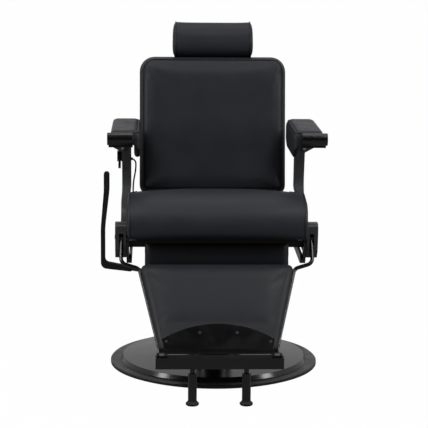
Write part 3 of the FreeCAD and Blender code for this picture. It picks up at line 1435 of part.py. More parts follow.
def build_back_soft(front):
    wall_gap = s.cover_wall + s.soft_clearance
    half = s.back_half_width - s.cover_inset - wall_gap
    bottom = s.back_bottom + s.cover_inset + wall_gap
    top = s.back_top - s.cover_inset - wall_gap
    low_corner = s.cover_corner_low - wall_gap
    high_corner = s.cover_corner_high - wall_gap
    board_front = front - s.board_thickness
    board = slab(box_corners(-half, half, bottom, top, low_corner, high_corner), "xz", board_front, front)
    keep("back_board", on_back(solid(board)))
    cushion_front = board_front - s.back_thickness
    wide = s.back_half_width
    cushion = pillow(
        box_corners(-wide, wide, cushion_front, board_front, s.back_edge_side, s.back_edge_rear),
        box_corners(-wide, wide, s.back_bottom, s.back_top, s.back_corner_low, s.back_corner_high),
        [
            (cushion_front, s.back_bottom, s.back_edge_low),
            (board_front, s.back_bottom, s.back_edge_rear),
            (board_front, s.back_top, s.back_edge_rear),
            (cushion_front, s.back_top, s.back_edge_high),
        ],
    )
    keep("back_cushion", on_back(solid(cushion)))


def build_headrest():
    post_y = -s.frame_front + s.upright_depth / 2
    half_spacing = s.post_spacing / 2
    posts = []
    clamp_bottom = s.post_top - s.clamp_height
    clamp_front = -s.frame_front
    clamp_rear = clamp_front + s.upright_depth
    for sign in (1, -1):
        place = (half_spacing * sign, post_y, s.post_bottom)
        posts.append(rod("z", place, s.post_diameter, s.post_top - s.post_bottom))
    clamp_low = (-s.clamp_half_width, clamp_front, clamp_bottom)
    clamp = block(clamp_low, (s.clamp_half_width, clamp_rear, s.post_top))
    keep("headrest_posts", on_back(fuse(clamp, *posts)))
    bottom = s.back_top + s.headrest_gap
    top = bottom + s.headrest_height
    inset = s.headrest_board_inset
    half = s.headrest_half_width
    board_front = clamp_front - s.board_thickness
    board_outline = box_corners(-half + inset, half - inset, bottom + inset, top - inset, inset, inset)
    board = slab(board_outline, "xz", board_front, clamp_front)
    keep("headrest_board", on_back(solid(board)))
    front = board_front - s.headrest_thickness
    cushion = pillow(
        box_corners(-half, half, front, board_front, s.headrest_edge_side, s.headrest_edge_seam),
        box_corners(-half, half, bottom, top, s.headrest_corner_low, s.headrest_corner_high),
        [
            (front, bottom, s.headrest_nose_low),
            (board_front, bottom, s.headrest_heel),
            (board_front, top, s.headrest_heel),
            (front, top, s.headrest_nose_high),
        ],
    )
    keep("headrest_cushion", on_back(solid(cushion)))


def foot_tab_x():
    return s.leg_rod_low - s.foot_tab_inset


def build_leg_rods():
    bar_rear = -float(s.foot_bar_ahead) + float(s.foot_bar_depth) / 2
    tab_low = float(foot_bar_top)
    rod_radius = float(s.leg_rod_diameter) / 2
    run_z = tab_low + float(s.rod_under_tab) - rod_radius
    axis = Vector(0, float(leg_y), float(leg_z))
    radius = float(s.leg_bend_radius)
    offset = float(s.leg_rod_offset)
    points = [
        leg_point(offset, 0),
        leg_point(offset, s.leg_bend_low),
        leg_point(s.leg_rod_high, s.leg_bend_in),
        leg_point(s.leg_rod_low, s.leg_bend_end),
        Vector(float(s.leg_rod_low), bar_rear + float(s.side_gap), run_z),
    ]
    bent = pipe(points, s.leg_rod_diameter, [radius, radius, float(s.leg_end_radius)])
    boss_start = axis + Vector(offset - rod_radius, 0, 0)
    bent = bent.fuse(bar(boss_start, s.leg_boss_diameter, offset + rod_radius))
    shaft_start = axis + Vector(float(crank_inner), 0, 0)
    bent = bent.fuse(bar(shaft_start, s.leg_shaft_diameter, s.arm_outer_low + s.leg_shaft_stand))
    tip = crank_tip(leg_y, leg_z)
    crank = tapered_plate(axis, s.crank_eye_diameter, tip, s.crank_tip_diameter, crank_inner, crank_outer)
    bent = bent.fuse(crank)
    bent = bent.fuse(bar(Vector(float(link_inner), tip.y, tip.z), s.crank_pin_diameter, crank_outer))
    tab_x = float(foot_tab_x())
    tab_half = float(s.foot_tab_half)
    tab = Part.makeBox(
        2 * tab_half,
        float(s.foot_tab_reach) + float(s.foot_tab_tail),
        float(s.foot_tab_thickness),
        Vector(tab_x - tab_half, bar_rear - float(s.foot_tab_reach), tab_low),
    )
    bent = bent.fuse(tab)
    bolt_y = bar_rear - float(s.foot_bar_depth) / 2
    hole = float(s.foot_bolt_diameter) / 2 + float(s.bolt_clearance)
    bent = bent.cut(Part.makeCylinder(hole, 2 * FAR, Vector(tab_x, bolt_y, tab_low - FAR)))
    for name, sign in SIDES:
        keep(f"leg_rod_{name}", solid(sided(bent.removeSplitter(), sign)))


def rod_half_width(along):
    """Distance of a rod's axis from the middle, at a distance below the hinge."""
    share = (float(along) - float(s.leg_bend_in)) / (float(s.leg_bend_end) - float(s.leg_bend_in))
    return float(s.leg_rod_high) + share * (float(s.leg_rod_low) - float(s.leg_rod_high))


def pad_half_width(along):
    share = (float(along) - float(s.pad_start)) / (float(s.pad_end) - float(s.pad_start))
    return float(s.pad_half_top) + share * (float(s.pad_half_bottom) - float(s.pad_half_top))


def trapezoid(start, stop, inset, top_radius, bottom_radius):
    """An outline inside the calf pad's, between two distances below the hinge."""
    top = pad_half_width(start) - float(inset)
    bottom = pad_half_width(stop) - float(inset)
    return [
        (-bottom, -float(stop), bottom_radius),
        (bottom, -float(stop), bottom_radius),
        (top, -float(start), top_radius),
        (-top, -float(start), top_radius),
    ]


def build_calf_pad():
    rod_back = s.leg_rod_diameter / 2
    pad_rear = -s.pad_back
    pad_front = pad_rear - s.pad_thickness
    inset = s.calf_board_inset
    board_outline = trapezoid(
        s.pad_start + inset, s.pad_end - inset, inset, s.calf_corner_top, s.calf_corner_bottom
    )
    board = slab(board_outline, "xz", pad_rear, rod_back)
    keep("calf_board", on_leg(solid(board)))
    bars = []
    for along in (s.leg_bar_first, s.leg_bar_second):
        half = rod_half_width(along)
        low = (-half, rod_back, -along - s.leg_bar_width / 2)
        high = (half, rod_back + s.leg_bar_thickness, -along + s.leg_bar_width / 2)
        bars.append(block(low, high))
    keep("leg_cross_bars", on_leg(group(*bars)))
    pad = pillow(
        None,
        trapezoid(s.pad_start, s.pad_end, 0, s.pad_corner_top, s.pad_corner_bottom),
        [
            (pad_front, -s.pad_end, s.pad_edge_bottom),
            (pad_rear, -s.pad_end, s.pad_edge_rear),
            (pad_rear, -s.pad_start, s.pad_edge_rear),
            (pad_front, -s.pad_start, s.pad_edge_top),
        ],
    )
    keep("calf_pad", on_leg(solid(pad)))
    build_kick_plate(pad_front)


def kick_screws():
    """Places (x, distance below the hinge) of the four screws under the arch."""
    outer = pad_half_width(s.kick_shoulder) - float(s.kick_screw_margin)
    inner = float(s.kick_screw_inner)
    low = float(s.kick_shoulder + s.kick_screw_low)
    high = float(s.kick_shoulder - s.kick_screw_high)
    return [(-outer, low), (-inner, high), (inner, high), (outer, low)]


def build_kick_plate(pad_front):
    front = pad_front - s.kick_thickness
    shoulder = float(s.kick_shoulder)
    bottom = float(s.pad_end) - float(s.kick_inset)
    wide = pad_half_width(shoulder) - float(s.kick_inset)
    narrow = pad_half_width(bottom) - float(s.kick_inset)
    y = float(front)
    corners = [Vector(-narrow, y, -bottom), Vector(narrow, y, -bottom), Vector(wide, y, -shoulder)]
    last = Vector(-wide, y, -shoulder)
    edges = [Part.LineSegment(a, b).toShape() for a, b in zip(corners, corners[1:])]
    edges.append(Part.Arc(corners[2], Vector(0, y, -float(s.kick_peak)), last).toShape())
    edges.append(Part.LineSegment(last, corners[0]).toShape())
    plate = Part.Face(Part.Wire(edges)).extrude(Vector(0, float(s.kick_thickness), 0))
    hole = float(s.kick_screw_diameter) / 2 + float(s.bolt_clearance)
    screws = []
    for x, along in kick_screws():
        plate = plate.cut(Part.makeCylinder(hole, 2 * FAR, Vector(x, -FAR, -along), Vector(0, 1, 0)))
        head = rod("y", (x, front - s.kick_screw_cap, -along), s.kick_screw_head, s.kick_screw_cap)
        shank = rod("y", (x, front, -along), s.kick_screw_diameter, s.kick_thickness)
        screws.append(fuse(head, shank))
    keep("kick_plate", on_leg(solid(plate)))
    keep("kick_plate_screws", on_leg(group(*screws)))


def build_foot_bar():
    half = s.foot_bar_half
    middle = -s.foot_bar_ahead
    front = middle - s.foot_bar_depth / 2
    rear = middle + s.foot_bar_depth / 2
    bottom = foot_bar_top - s.foot_bar_height
    tube = square_tube((-half, front, bottom), (half, rear, foot_bar_top), "x")
    bolt_x = foot_tab_x()
    hole = s.foot_bolt_diameter + s.bolt_clearance * 2
    through = s.foot_bar_height + 2 * PAST
    holes = [rod("z", (bolt_x * sign, middle, bottom - PAST), hole, through) for sign in (1, -1)]
    keep("foot_bar", cut(tube, *holes))
    caps = []
    bolts = []
    legs = []
    feet = []
    head = s.foot_bolt_diameter * HEAD_HEIGHT
    tab_top = foot_bar_top + s.foot_tab_thickness
    for sign in (1, -1):
        inner, outer = sorted((half * sign, (half + s.foot_cap_thickness) * sign), key=float)
        caps.append(block((inner, front, bottom), (outer, rear, foot_bar_top)))
        x = bolt_x * sign
        shank = rod("z", (x, middle, bottom), s.foot_bolt_diameter, s.foot_bar_height + s.foot_tab_thickness)
        bolts.append(fuse(
            shank,
            bolt_head("z", (x, middle, tab_top), s.foot_bolt_diameter),
            bolt_head("z", (x, middle, bottom - head), s.foot_bolt_diameter),
        ))
        leg_x = s.support_spacing / 2 * sign
        sleeve_bottom = bottom - s.stud_length - s.sleeve_length
        stud = rod("z", (leg_x, middle, bottom - s.stud_length), s.stud_diameter, s.stud_length)
        sleeve = rod("z", (leg_x, middle, sleeve_bottom), s.sleeve_diameter, s.sleeve_length)
        legs.append(fuse(stud, sleeve))
        bulge = [(s.foot_diameter * a, sleeve_bottom - s.foot_height * b) for a, b in FOOT_PROFILE]
        tread = (0, sleeve_bottom - s.foot_height)
        foot = turned([tread, *bulge, (s.sleeve_diameter / 2, sleeve_bottom), (0, sleeve_bottom)])
        seat_at(foot, leg_x, middle, 0)
        feet.append(foot)
    keep("foot_bar_caps", group(*caps))
    keep("foot_bar_bolts", group(*bolts))
    keep("support_legs", group(*legs))
    keep("support_feet", group(*feet))


def build_links():
    front = crank_tip(leg_y, leg_z)
    rear = crank_tip(back_y, back_z)
    tip = s.crank_tip_diameter
    link = tapered_plate(front, tip, rear, tip, link_inner, link_outer)
    for place in (front, rear):
        link = link.cut(bar(place, s.crank_pin_diameter + s.running_clearance * 2, FAR))
    keep("link_bars", solid(pair(link)))


def build_strut():
    x = -s.strut_offset
    bore = s.strut_rod_diameter + s.running_clearance * 2
    length = s.strut_rear + s.strut_front
    body = rod("y", (x, -s.strut_front, strut_z), s.strut_diameter, length)
    inside = rod("y", (x, -s.strut_front + s.strut_wall_end, strut_z), bore, length)
    valve_half = s.strut_diameter / 2
    valve = block(
        (x - valve_half, -s.strut_front - s.strut_valve_length, strut_z - valve_half),
        (x + valve_half, -s.strut_front, strut_z + valve_half),
    )
    keep("strut_body", cut(fuse(body, valve), inside))
    half = s.clamp_block_width / 2
    blocks = []
    for middle in (-s.clamp_front, s.clamp_rear):
        low = (x - half, middle - s.clamp_block_depth / 2, strut_z - s.clamp_block_below)
        high = (x + half, middle + s.clamp_block_depth / 2, head_top)
        hole_start = (x, middle - s.clamp_block_depth, strut_z)
        hole = rod("y", hole_start, s.strut_diameter + s.running_clearance * 2, s.clamp_block_depth * 2)
        blocks.append(cut(block(low, high), hole))
    keep("strut_clamps", group(*blocks))

    tip = crank_tip(back_y, back_z)
    pin = float(s.strut_pin_diameter) / 2
    sweep = abs(tip.z - float(strut_z)) + float(s.strut_slot_play)
    across = pin + float(s.strut_slot_play)
    wall = float(s.strut_eye_wall)
    half_eye = float(s.strut_eye_thickness) / 2
    left = -float(s.strut_offset)
    centre_z = float(strut_z)

    def slotted(grow):
        wide = across + grow
        tall = pin + sweep + grow
        return box_corners(tip.y - wide, tip.y + wide, centre_z - tall, centre_z + tall, wide, wide)

    eye = slab(slotted(wall), "yz", left - half_eye, left + half_eye)
    eye = eye.cut(slab(slotted(0), "yz", left - 2 * half_eye, left + 2 * half_eye))
    rod_start = Vector(left, float(s.strut_rear) - float(s.strut_rod_inside), centre_z)
    rod_length = tip.y - across - wall / 2 - rod_start.y
    rod_radius = float(s.strut_rod_diameter) / 2
    piston = Part.makeCylinder(rod_radius, rod_length, rod_start, Vector(0, 1, 0))
    eye = eye.fuse(piston)
    keep("strut_rod", solid(eye.removeSplitter()))


def cable_start():
    """The cable leaves the inner face of the right post, under the arm pad."""
    z = float(housing_top) - float(s.housing_height) * 0.8
    return Vector(-float(s.arm_inner_high), float(s.housing_behind), z)


def build_release():
    outer_face = -float(s.arm_outer_high)
    width = float(s.housing_width)
    half_depth = float(s.housing_depth) / 2
    y = float(s.housing_behind)
    top = float(housing_top)
    bottom = top - float(s.housing_height)
    corner = s.housing_corner
    outline = box_corners(y - half_depth, y + half_depth, bottom, top, corner, corner)
    box = slab(outline, "yz", outer_face - width, outer_face)
    pin = Vector(outer_face - width, y, top - float(s.trigger_eye_diameter / 2 + s.trigger_roof))
    half_slot = float(s.trigger_thickness) / 2 + float(s.trigger_play)
    middle = outer_face - width / 2
    eye_room = FAR + float(s.trigger_eye_diameter / 2 + s.trigger_room)
    slot_low = Vector(middle - half_slot, y - FAR, pin.z - FAR)
    slot = Part.makeBox(2 * half_slot, eye_room, eye_room, slot_low)
    box = box.cut(slot)
    box = box.cut(bar(pin, s.trigger_pin_diameter + s.running_clearance * 2, outer_face))
    keep("release_housing", solid(box))
    turn = math.radians(float(s.trigger_drop))
    flat_pin = Vector(0, pin.y, pin.z)
    tip = flat_pin + Vector(0, -math.cos(turn), -math.sin(turn)) * float(s.trigger_reach)
    half = float(s.trigger_thickness) / 2
    ends = (flat_pin, s.trigger_eye_diameter, tip, s.trigger_tip_diameter)
    lever = tapered_plate(*ends, middle - half, middle + half)
    lever = lever.fuse(bar(pin, s.trigger_pin_diameter, outer_face))
    keep("release_lever", solid(lever.removeSplitter()))
    build_cable()


def build_cable():
    """The release cable: through the post, down behind the seat, then under it to the strut."""
    start = cable_start()
    frame = float(frame_top)
    gap = float(s.side_gap)
    arm_face = -float(s.arm_inner_low)
    ferrule = bar(start, s.ferrule_diameter, start.x + float(s.ferrule_length))
    valve_face = -float(s.strut_offset) - float(s.strut_diameter) / 2
    valve_middle = -float(s.strut_front) - float(s.strut_valve_length) / 2
    points = [
        Vector(-float(s.arm_outer_high) + gap, start.y, start.z),
        start + Vector(15, 0, 0),
        start + Vector(15.5, -3, -34),
        start + Vector(8, -6, -70),
        Vector(arm_face + 16, 163, frame + 92),
        Vector(arm_face + 19, 164, frame + 54),
        Vector(arm_face + 23, 165, frame + 25),
        Vector(arm_face + 25, 161, frame + 3),
        Vector(arm_face + 27, 152, frame - 8),
        Vector(arm_face + 28, 134, frame - 12),
        Vector(arm_face + 30, 104, frame - 10),
        Vector(arm_face + 31, 68, frame - 9),
        Vector(arm_face + 35, 38, frame - 13.5),
        Vector(arm_face + 46, 14, frame - 23),
        Vector(valve_face - 96, -8, frame - 29.5),
        Vector(valve_face - 64, -40, frame - 35.5),
        Vector(valve_face - 48, -80, frame - 46),
        Vector(valve_face - 43, -116, frame - 55),
        Vector(valve_face - 32, valve_middle, float(strut_z)),
        Vector(valve_face - gap, valve_middle, float(strut_z)),
    ]
    radii = []
    for before, corner, after in zip(points, points[1:], points[2:]):
        half = (before - corner).getAngle(after - corner) / 2
        shorter = min((before - corner).Length, (after - corner).Length)
        radii.append(0.45 * shorter * math.tan(half))
    print("cable radii", [round(radius, 1) for radius in radii])
    cable = pipe(points, s.cable_diameter, radii)
    keep("release_cable", solid(cable.fuse(ferrule).removeSplitter()))


def check_and_write():
    document.recompute()
    for thing in document.Objects:
        if "Invalid" in thing.State or "Error" in thing.State:
            raise RuntimeError(f"{thing.Label} failed: {thing.State}")
    for piece in parts:
        if piece.Shape.isNull() or not piece.Shape.isValid():
            raise RuntimeError(f"{piece.Label} has no valid shape")
    os.makedirs("parts", exist_ok=True)
    for piece in parts:
        piece.Shape.exportStep(f"parts/{piece.Label}.step")
    print(len(parts), "sub-parts written")


build_base()
build_column()
build_lift()
build_pump_head()
build_seat_frame()
build_seat()
for side_name, side_sign in SIDES:
    build_arm(side_name, side_sign)
build_arm_fixings()
build_lever()
build_back()
build_headrest()
build_leg_rods()
build_calf_pad()
build_foot_bar()
build_links()
build_strut()
build_release()
check_and_write()
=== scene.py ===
import math

import bmesh
import bpy
import numpy as np
from mathutils import Matrix


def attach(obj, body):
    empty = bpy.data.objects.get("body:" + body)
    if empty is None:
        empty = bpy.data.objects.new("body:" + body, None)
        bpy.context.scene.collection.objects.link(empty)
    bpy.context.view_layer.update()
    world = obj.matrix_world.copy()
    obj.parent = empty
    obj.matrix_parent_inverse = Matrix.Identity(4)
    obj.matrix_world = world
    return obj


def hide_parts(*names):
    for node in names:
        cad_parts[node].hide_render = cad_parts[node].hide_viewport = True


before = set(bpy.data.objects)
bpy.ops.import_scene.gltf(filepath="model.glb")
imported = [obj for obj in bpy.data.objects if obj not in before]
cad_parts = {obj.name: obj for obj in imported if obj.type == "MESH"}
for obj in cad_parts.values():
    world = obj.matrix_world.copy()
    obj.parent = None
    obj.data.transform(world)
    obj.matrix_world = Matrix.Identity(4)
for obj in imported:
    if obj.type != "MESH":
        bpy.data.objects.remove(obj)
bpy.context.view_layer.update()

bl_info = {
    "name": "Barber chair upholstery and finishes",
    "version": (1, 0, 0),
    "blender": (4, 5, 0),
    "location": "3D View > Sidebar > Chair",
    "description": "Upholstery, finishes and studio of a reclining hydraulic barber chair",
    "category": "Object",
}

# Lengths below are written in millimetres; the scene is in metres
MM = 0.001

# Hinge axes of the leaning pieces in the side view: y, z, lean in degrees
BACK_AXIS = (255.0, 452.0, 10.0)
LEG_AXIS = (-182.0, 443.0, 35.0)
UPRIGHT = (0.0, 0.0, 0.0)

# Columns of a cushion's own points that become x, y and z, for a panel that faces the front or a side
FACING_FRONT = [0, 2, 1]
FACING_SIDE = [2, 0, 1]

# Puckers beside a seam fade over this length
PUCKER_FADE = 14.0

WHITE = (1, 1, 1, 1)


# Colours and shader nodes


def linear(code):
    """An sRGB hex colour as linear red, green, blue and full alpha."""
    shares = [int(code[i : i + 2], 16) / 255 for i in (1, 3, 5)]
    return tuple(c / 12.92 if c <= 0.04045 else ((c + 0.055) / 1.055) ** 2.4 for c in shares) + (1.0,)


def add_node(tree, kind, links=(), values=(), **options):
    """Adds one node: its options, the values of its inputs, and links given as (input, output socket)."""
    node = tree.nodes.new(kind)
    for name, value in options.items():
        setattr(node, name, value)
    for name, value in values:
        node.inputs[name].default_value = value
    for name, source in links:
        tree.links.new(source, node.inputs[name])
    return node


def per_metre(size_mm):
    """Texture scale that gives features of about this size, on coordinates in metres."""
    return 1 / (size_mm * MM)


def surface(name, colour, roughness, metallic=0.0, specular=0.5):
    """A material with one principled shader; returns the material, its tree, shader and coordinates."""
    material = bpy.data.materials.new(name)
    material.use_nodes = True
    tree = material.node_tree
    shader = tree.nodes["Principled BSDF"]
    shader.inputs["Base Color"].default_value = linear(colour)
    shader.inputs["Roughness"].default_value = roughness
    shader.inputs["Metallic"].default_value = metallic
    shader.inputs["Specular IOR Level"].default_value = specular
    place = add_node(tree, "ShaderNodeTexCoord").outputs["Object"]
    return material, tree, shader, place


def vary(tree, shader, place, socket, size_mm, low, high):
    """Slow cloudy change of one input between two numbers or two hex colours."""
    noise = add_node(
        tree, "ShaderNodeTexNoise", [("Vector", place)], [("Scale", per_metre(size_mm)), ("Detail", 4.0)]
    )
    ramp = add_node(tree, "ShaderNodeValToRGB", [("Fac", noise.outputs["Fac"])])
    ends = [linear(c) if isinstance(c, str) else (c, c, c, 1) for c in (low, high)]
    for stop, position, colour in zip(ramp.color_ramp.elements, (0.35, 0.65), ends):
        stop.position = position
        stop.color = colour
    tree.links.new(ramp.outputs["Color"], shader.inputs[socket])


def roughen(tree, shader, place, size_mm, detail, strength, depth_mm, under=()):
    """Relief on the shader's normal: noise of this size as a bump, over another normal if one is linked."""
    noise = add_node(
        tree, "ShaderNodeTexNoise", [("Vector", place)], [("Scale", per_metre(size_mm)), ("Detail", detail)]
    )
    bump = add_node(
        tree,
        "ShaderNodeBump",
        [("Height", noise.outputs["Fac"]), *under],
        [("Strength", strength), ("Distance", depth_mm * MM)],
    )
    tree.links.new(bump.outputs["Normal"], shader.inputs["Normal"])


def leatherette():
    """Coated fabric with an embossed pebble grain: black, satin, with soft broad highlights."""
    material, tree, shader, place = surface("pebbled_leatherette", "#28292d", 0.46, specular=0.2)
    vary(tree, shader, place, "Roughness", 60, 0.42, 0.52)
    # The real pebbles are near 1 mm; they are drawn at 2.2 mm so that they show
    pebble = add_node(
        tree,
        "ShaderNodeTexVoronoi",
        [("Vector", place)],
        [("Scale", per_metre(2.2)), ("Randomness", 1.0)],
        feature="SMOOTH_F1",
    )
    grain = add_node(
        tree,
        "ShaderNodeBump",
        [("Height", pebble.outputs["Distance"])],
        [("Strength", 0.16), ("Distance", 0.4 * MM)],
    )
    roughen(tree, shader, place, 30, 3.0, 0.10, 4, [("Normal", grain.outputs["Normal"])])
    return material


def piping_leatherette():
    """The same coated fabric pulled tight over a cord: smoother and a little glossier."""
    material, tree, shader, place = surface("leatherette_piping", "#222327", 0.38, specular=0.25)
    vary(tree, shader, place, "Roughness", 25, 0.30, 0.42)
    return material


def painted_metal(name, colour, low, high, peel, edge):
    """Painted metal: a clear gloss or satin film with faint orange peel, its edges softened by the film."""
    material, tree, shader, place = surface(name, colour, (low + high) / 2)
    vary(tree, shader, place, "Roughness", 45, low, high)
    soft = add_node(tree, "ShaderNodeBevel", values=[("Radius", edge * MM)], samples=4)
    roughen(tree, shader, place, 3.5, 2.0, peel, 0.3, [("Normal", soft.outputs["Normal"])])
    return material


def moulded_rubber():
    """Moulded black rubber: matt, greyed by handling, with a fine cast texture."""
    material, tree, shader, place = surface("moulded_rubber", "#151515", 0.62, specular=0.3)
    vary(tree, shader, place, "Base Color", 20, "#131313", "#1a1a1a")
    roughen(tree, shader, place, 1.5, 2.0, 0.2, 0.3)
    return material


def moulded_abs():
    """Injection-moulded ABS with a spark-eroded texture: even, satin black."""
    material, tree, shader, place = surface("moulded_abs", "#17181a", 0.42, specular=0.4)
    vary(tree, shader, place, "Roughness", 30, 0.36, 0.48)
    roughen(tree, shader, place, 1.2, 1.0, 0.03, 0.2)
    return material


def chromed_steel():
    """Chrome plate on polished steel: mirror bright with faint smears."""
    material, tree, shader, place = surface("chromed_steel", "#d6d8da", 0.08, metallic=1.0)
    vary(tree, shader, place, "Roughness", 12, 0.05, 0.14)
    return material


def zinc_steel():
    """Zinc-plated steel: cool grey, half matt, slightly blotched."""
    material, tree, shader, place = surface("zinc_plated_steel", "#a9abad", 0.34, metallic=1.0)
    vary(tree, shader, place, "Base Color", 8, "#9a9c9f", "#b4b6b8")
    return material


def stained_plywood():
    """Birch plywood stained black: matt, with the long grain still showing across the chair."""
    material, tree, shader, place = surface("black_stained_plywood", "#1d1b19", 0.66, specular=0.2)
    stretch = add_node(tree, "ShaderNodeMapping", [("Vector", place)], [("Scale", (0.06, 1.0, 1.0))])
    grain = add_node(
        tree,
        "ShaderNodeTexNoise",
        [("Vector", stretch.outputs["Vector"])],
        [("Scale", per_metre(3)), ("Detail", 6.0)],
    )
    ramp = add_node(tree, "ShaderNodeValToRGB", [("Fac", grain.outputs["Fac"])])
    for stop, colour in zip(ramp.color_ramp.elements, ("#141311", "#2b2824")):
        stop.color = linear(colour)
    tree.links.new(ramp.outputs["Color"], shader.inputs["Base Color"])
    return material


def blackened_steel():
    """Chemically blackened screws: dark metal with a dull shine."""
    material, tree, shader, place = surface("blackened_steel", "#3b3c3f", 0.36, metallic=1.0)
    vary(tree, shader, place, "Roughness", 4, 0.30, 0.46)
    return material


# Shapes as arrays of points and faces


def resample(points, count):
    """Points at equal steps along an open line: arc length, read back at equal shares of it."""
    steps = np.linalg.norm(np.diff(points, axis=0), axis=1)
    run = np.concatenate([[0.0], np.cumsum(steps)])
    share = np.linspace(0, run[-1], count + 1)
    return np.stack([np.interp(share, run, points[:, k]) for k in range(points.shape[1])], axis=1)


def rounded_outline(corners, counts, picks=(0, 1, 2, 3)):
    """A closed outline of straight sides and tangent arcs, from corners (a, b, radius) in turn.

    It is cut at the middle of the arcs of four picked corners, and each cut length gets its count of
    equal steps, so the outline can be filled as a four-sided patch.
    """
    arcs = 25
    places = np.array([corner[:2] for corner in corners], float)
    radii = np.array([corner[2] for corner in corners], float)
    back = np.roll(places, 1, axis=0) - places
    ahead = np.roll(places, -1, axis=0) - places
    back /= np.linalg.norm(back, axis=1)[:, None]
    ahead /= np.linalg.norm(ahead, axis=1)[:, None]
    half = np.arccos(np.clip((back * ahead).sum(axis=1), -1, 1)) / 2
    middle = back + ahead
    middle /= np.linalg.norm(middle, axis=1)[:, None]
    centre = places + middle * (radii / np.sin(half))[:, None]
    first = places + back * (radii / np.tan(half))[:, None] - centre
    last = places + ahead * (radii / np.tan(half))[:, None] - centre
    share = np.linspace(0, 1, arcs)[None, :, None]
    turn = (math.pi - 2 * half)[:, None, None]
    arc = first[:, None] * np.sin((1 - share) * turn) + last[:, None] * np.sin(share * turn)
    line = (centre[:, None] + arc / np.sin(turn)).reshape(-1, 2)
    cuts = [pick * arcs + arcs // 2 for pick in picks]
    sides = []
    for k, count in enumerate(counts):
        start, stop = cuts[k], cuts[(k + 1) % 4]
        stop += len(line) if stop <= start else 0
        sides.append(resample(np.take(line, range(start, stop + 1), axis=0, mode="wrap"), count)[:-1])
    return np.concatenate(sides)


def outward(loop):
    """Unit normals of an anticlockwise outline: its tangents, turned a quarter to the right."""
    along = np.roll(loop, -1, axis=0) - np.roll(loop, 1, axis=0)
    normal = np.stack([along[:, 1], -along[:, 0]], axis=1)
    return normal / np.linalg.norm(normal, axis=1)[:, None]


def filled(loop, across, up):
    """A four-sided patch inside an outline.

    It is the sum of the two ruled surfaces between opposite sides, less the bilinear one of the corners.
    """
    low = loop[: across + 1]
    right = loop[across : across + up + 1]
    high = loop[across + up : 2 * across + up + 1][::-1]
    left = np.concatenate([loop[2 * across + up :], loop[:1]])[::-1]
    u = np.linspace(0, 1, across + 1)[:, None, None]
    v = np.linspace(0, 1, up + 1)[None, :, None]
    ruled = (1 - v) * low[:, None] + v * high[:, None] + (1 - u) * left[None] + u * right[None]
    corner = (1 - u) * ((1 - v) * low[0] + v * high[0]) + u * ((1 - v) * low[-1] + v * high[-1])
    return ruled - corner


def rounding(distance, radius):
    """Height of a quarter circle over the distance from an edge, from 0 at the edge to 1 at the radius."""
    return np.sqrt(np.clip(1 - (1 - np.clip(distance / radius, 0, 1)) ** 2, 0, 1))


def ripple(place, seed):
    """Uneven puckers along a seam: three sines of unlike wavelengths, 17 to 41 mm, shifted by the seed."""
    waves = ((17.0, 0.8, 1.7), (26.0, 1.0, 4.1), (41.0, 0.7, 2.9))
    return sum(share * np.sin(2 * math.pi * place / size + shift * seed) for size, share, shift in waves)


def boxed_cushion(outline, counts, depths, offsets, crowns, edges, seed):
    """A boxed cushion in its own axes (a, b across the panel, c through it, rear towards +c).

    A front panel and a rear panel fill the outline, moved along its normal by the first and last offset;
    a band of rings joins them, each moved by its own offset. The two panels rise by their crowns as
    quarter circles over the edge radii (low, right, high, left), and small puckers run off the seams and
    fade away from them. Returns points, faces, and the two seam loops.
    """
    across, up = counts
    pucker = in_mm("pucker")
    normal = outward(outline)
    rings = [outline + normal * np.asarray(offset).reshape(-1, 1) for offset in offsets]
    size = len(outline)
    length = np.concatenate([[0], np.cumsum(np.linalg.norm(np.diff(outline, axis=0), axis=1))])
    ends = ((rings[0], depths[0], -crowns[0]), (rings[-1], depths[-1], crowns[1]))
    u = np.linspace(0, 1, across + 1)[:, None]
    v = np.linspace(0, 1, up + 1)[None, :]
    low, right, high, left = edges
    panels = []
    for loop, depth, crown in ends:
        patch = filled(loop, across, up)
        wide = np.linalg.norm(np.diff(patch, axis=0), axis=2).sum(axis=0).mean()
        tall = np.linalg.norm(np.diff(patch, axis=1), axis=2).sum(axis=1).mean()
        rise = rounding(v * tall, low) * rounding((1 - u) * wide, right)
        rise = rise * rounding((1 - v) * tall, high) * rounding(u * wide, left)
        near_side = np.exp(-np.minimum(u, 1 - u) * wide / PUCKER_FADE)
        near_end = np.exp(-np.minimum(v, 1 - v) * tall / PUCKER_FADE)
        folds = near_side * ripple(patch[..., 1], seed) + near_end * ripple(patch[..., 0], seed + 1)
        folds = np.where(rise > 0, folds * pucker * np.minimum(rise * 2, 1), 0)
        panels.append(np.dstack([patch, depth + crown * rise + np.sign(crown) * folds]))
    band = []
    for ring, depth in zip(rings[1:-1], depths[1:-1]):
        near = min(abs(depth - depths[0]), abs(depths[-1] - depth))
        swell = ripple(length, seed + 2) * pucker * math.exp(-near / PUCKER_FADE)
        band.append(np.column_stack([ring + normal * swell[:, None], np.full(size, depth)]))
    points = np.concatenate([panels[0].reshape(-1, 3)] + band + [panels[1].reshape(-1, 3)])
    grid = (across + 1) * (up + 1)
    number = np.arange(grid).reshape(across + 1, up + 1)
    rim = np.concatenate([number[:-1, 0], number[-1, :-1], number[:0:-1, -1], number[0, :0:-1]])
    quads = np.stack([number[:-1, :-1], number[1:, :-1], number[1:, 1:], number[:-1, 1:]], axis=-1)
    quads = quads.reshape(-1, 4)
    last = grid + size * len(band)
    loops = [rim] + [grid + size * k + np.arange(size) for k in range(len(band))] + [last + rim]
    walls = [
        np.stack([here, np.roll(here, -1), np.roll(there, -1), there], axis=-1)
        for here, there in zip(loops, loops[1:])
    ]
    faces = np.concatenate([quads, *walls, last + quads[:, ::-1]])
    seams = [np.column_stack([loop, np.full(size, depth)]) for loop, depth, crown in ends]
    return points, faces, seams


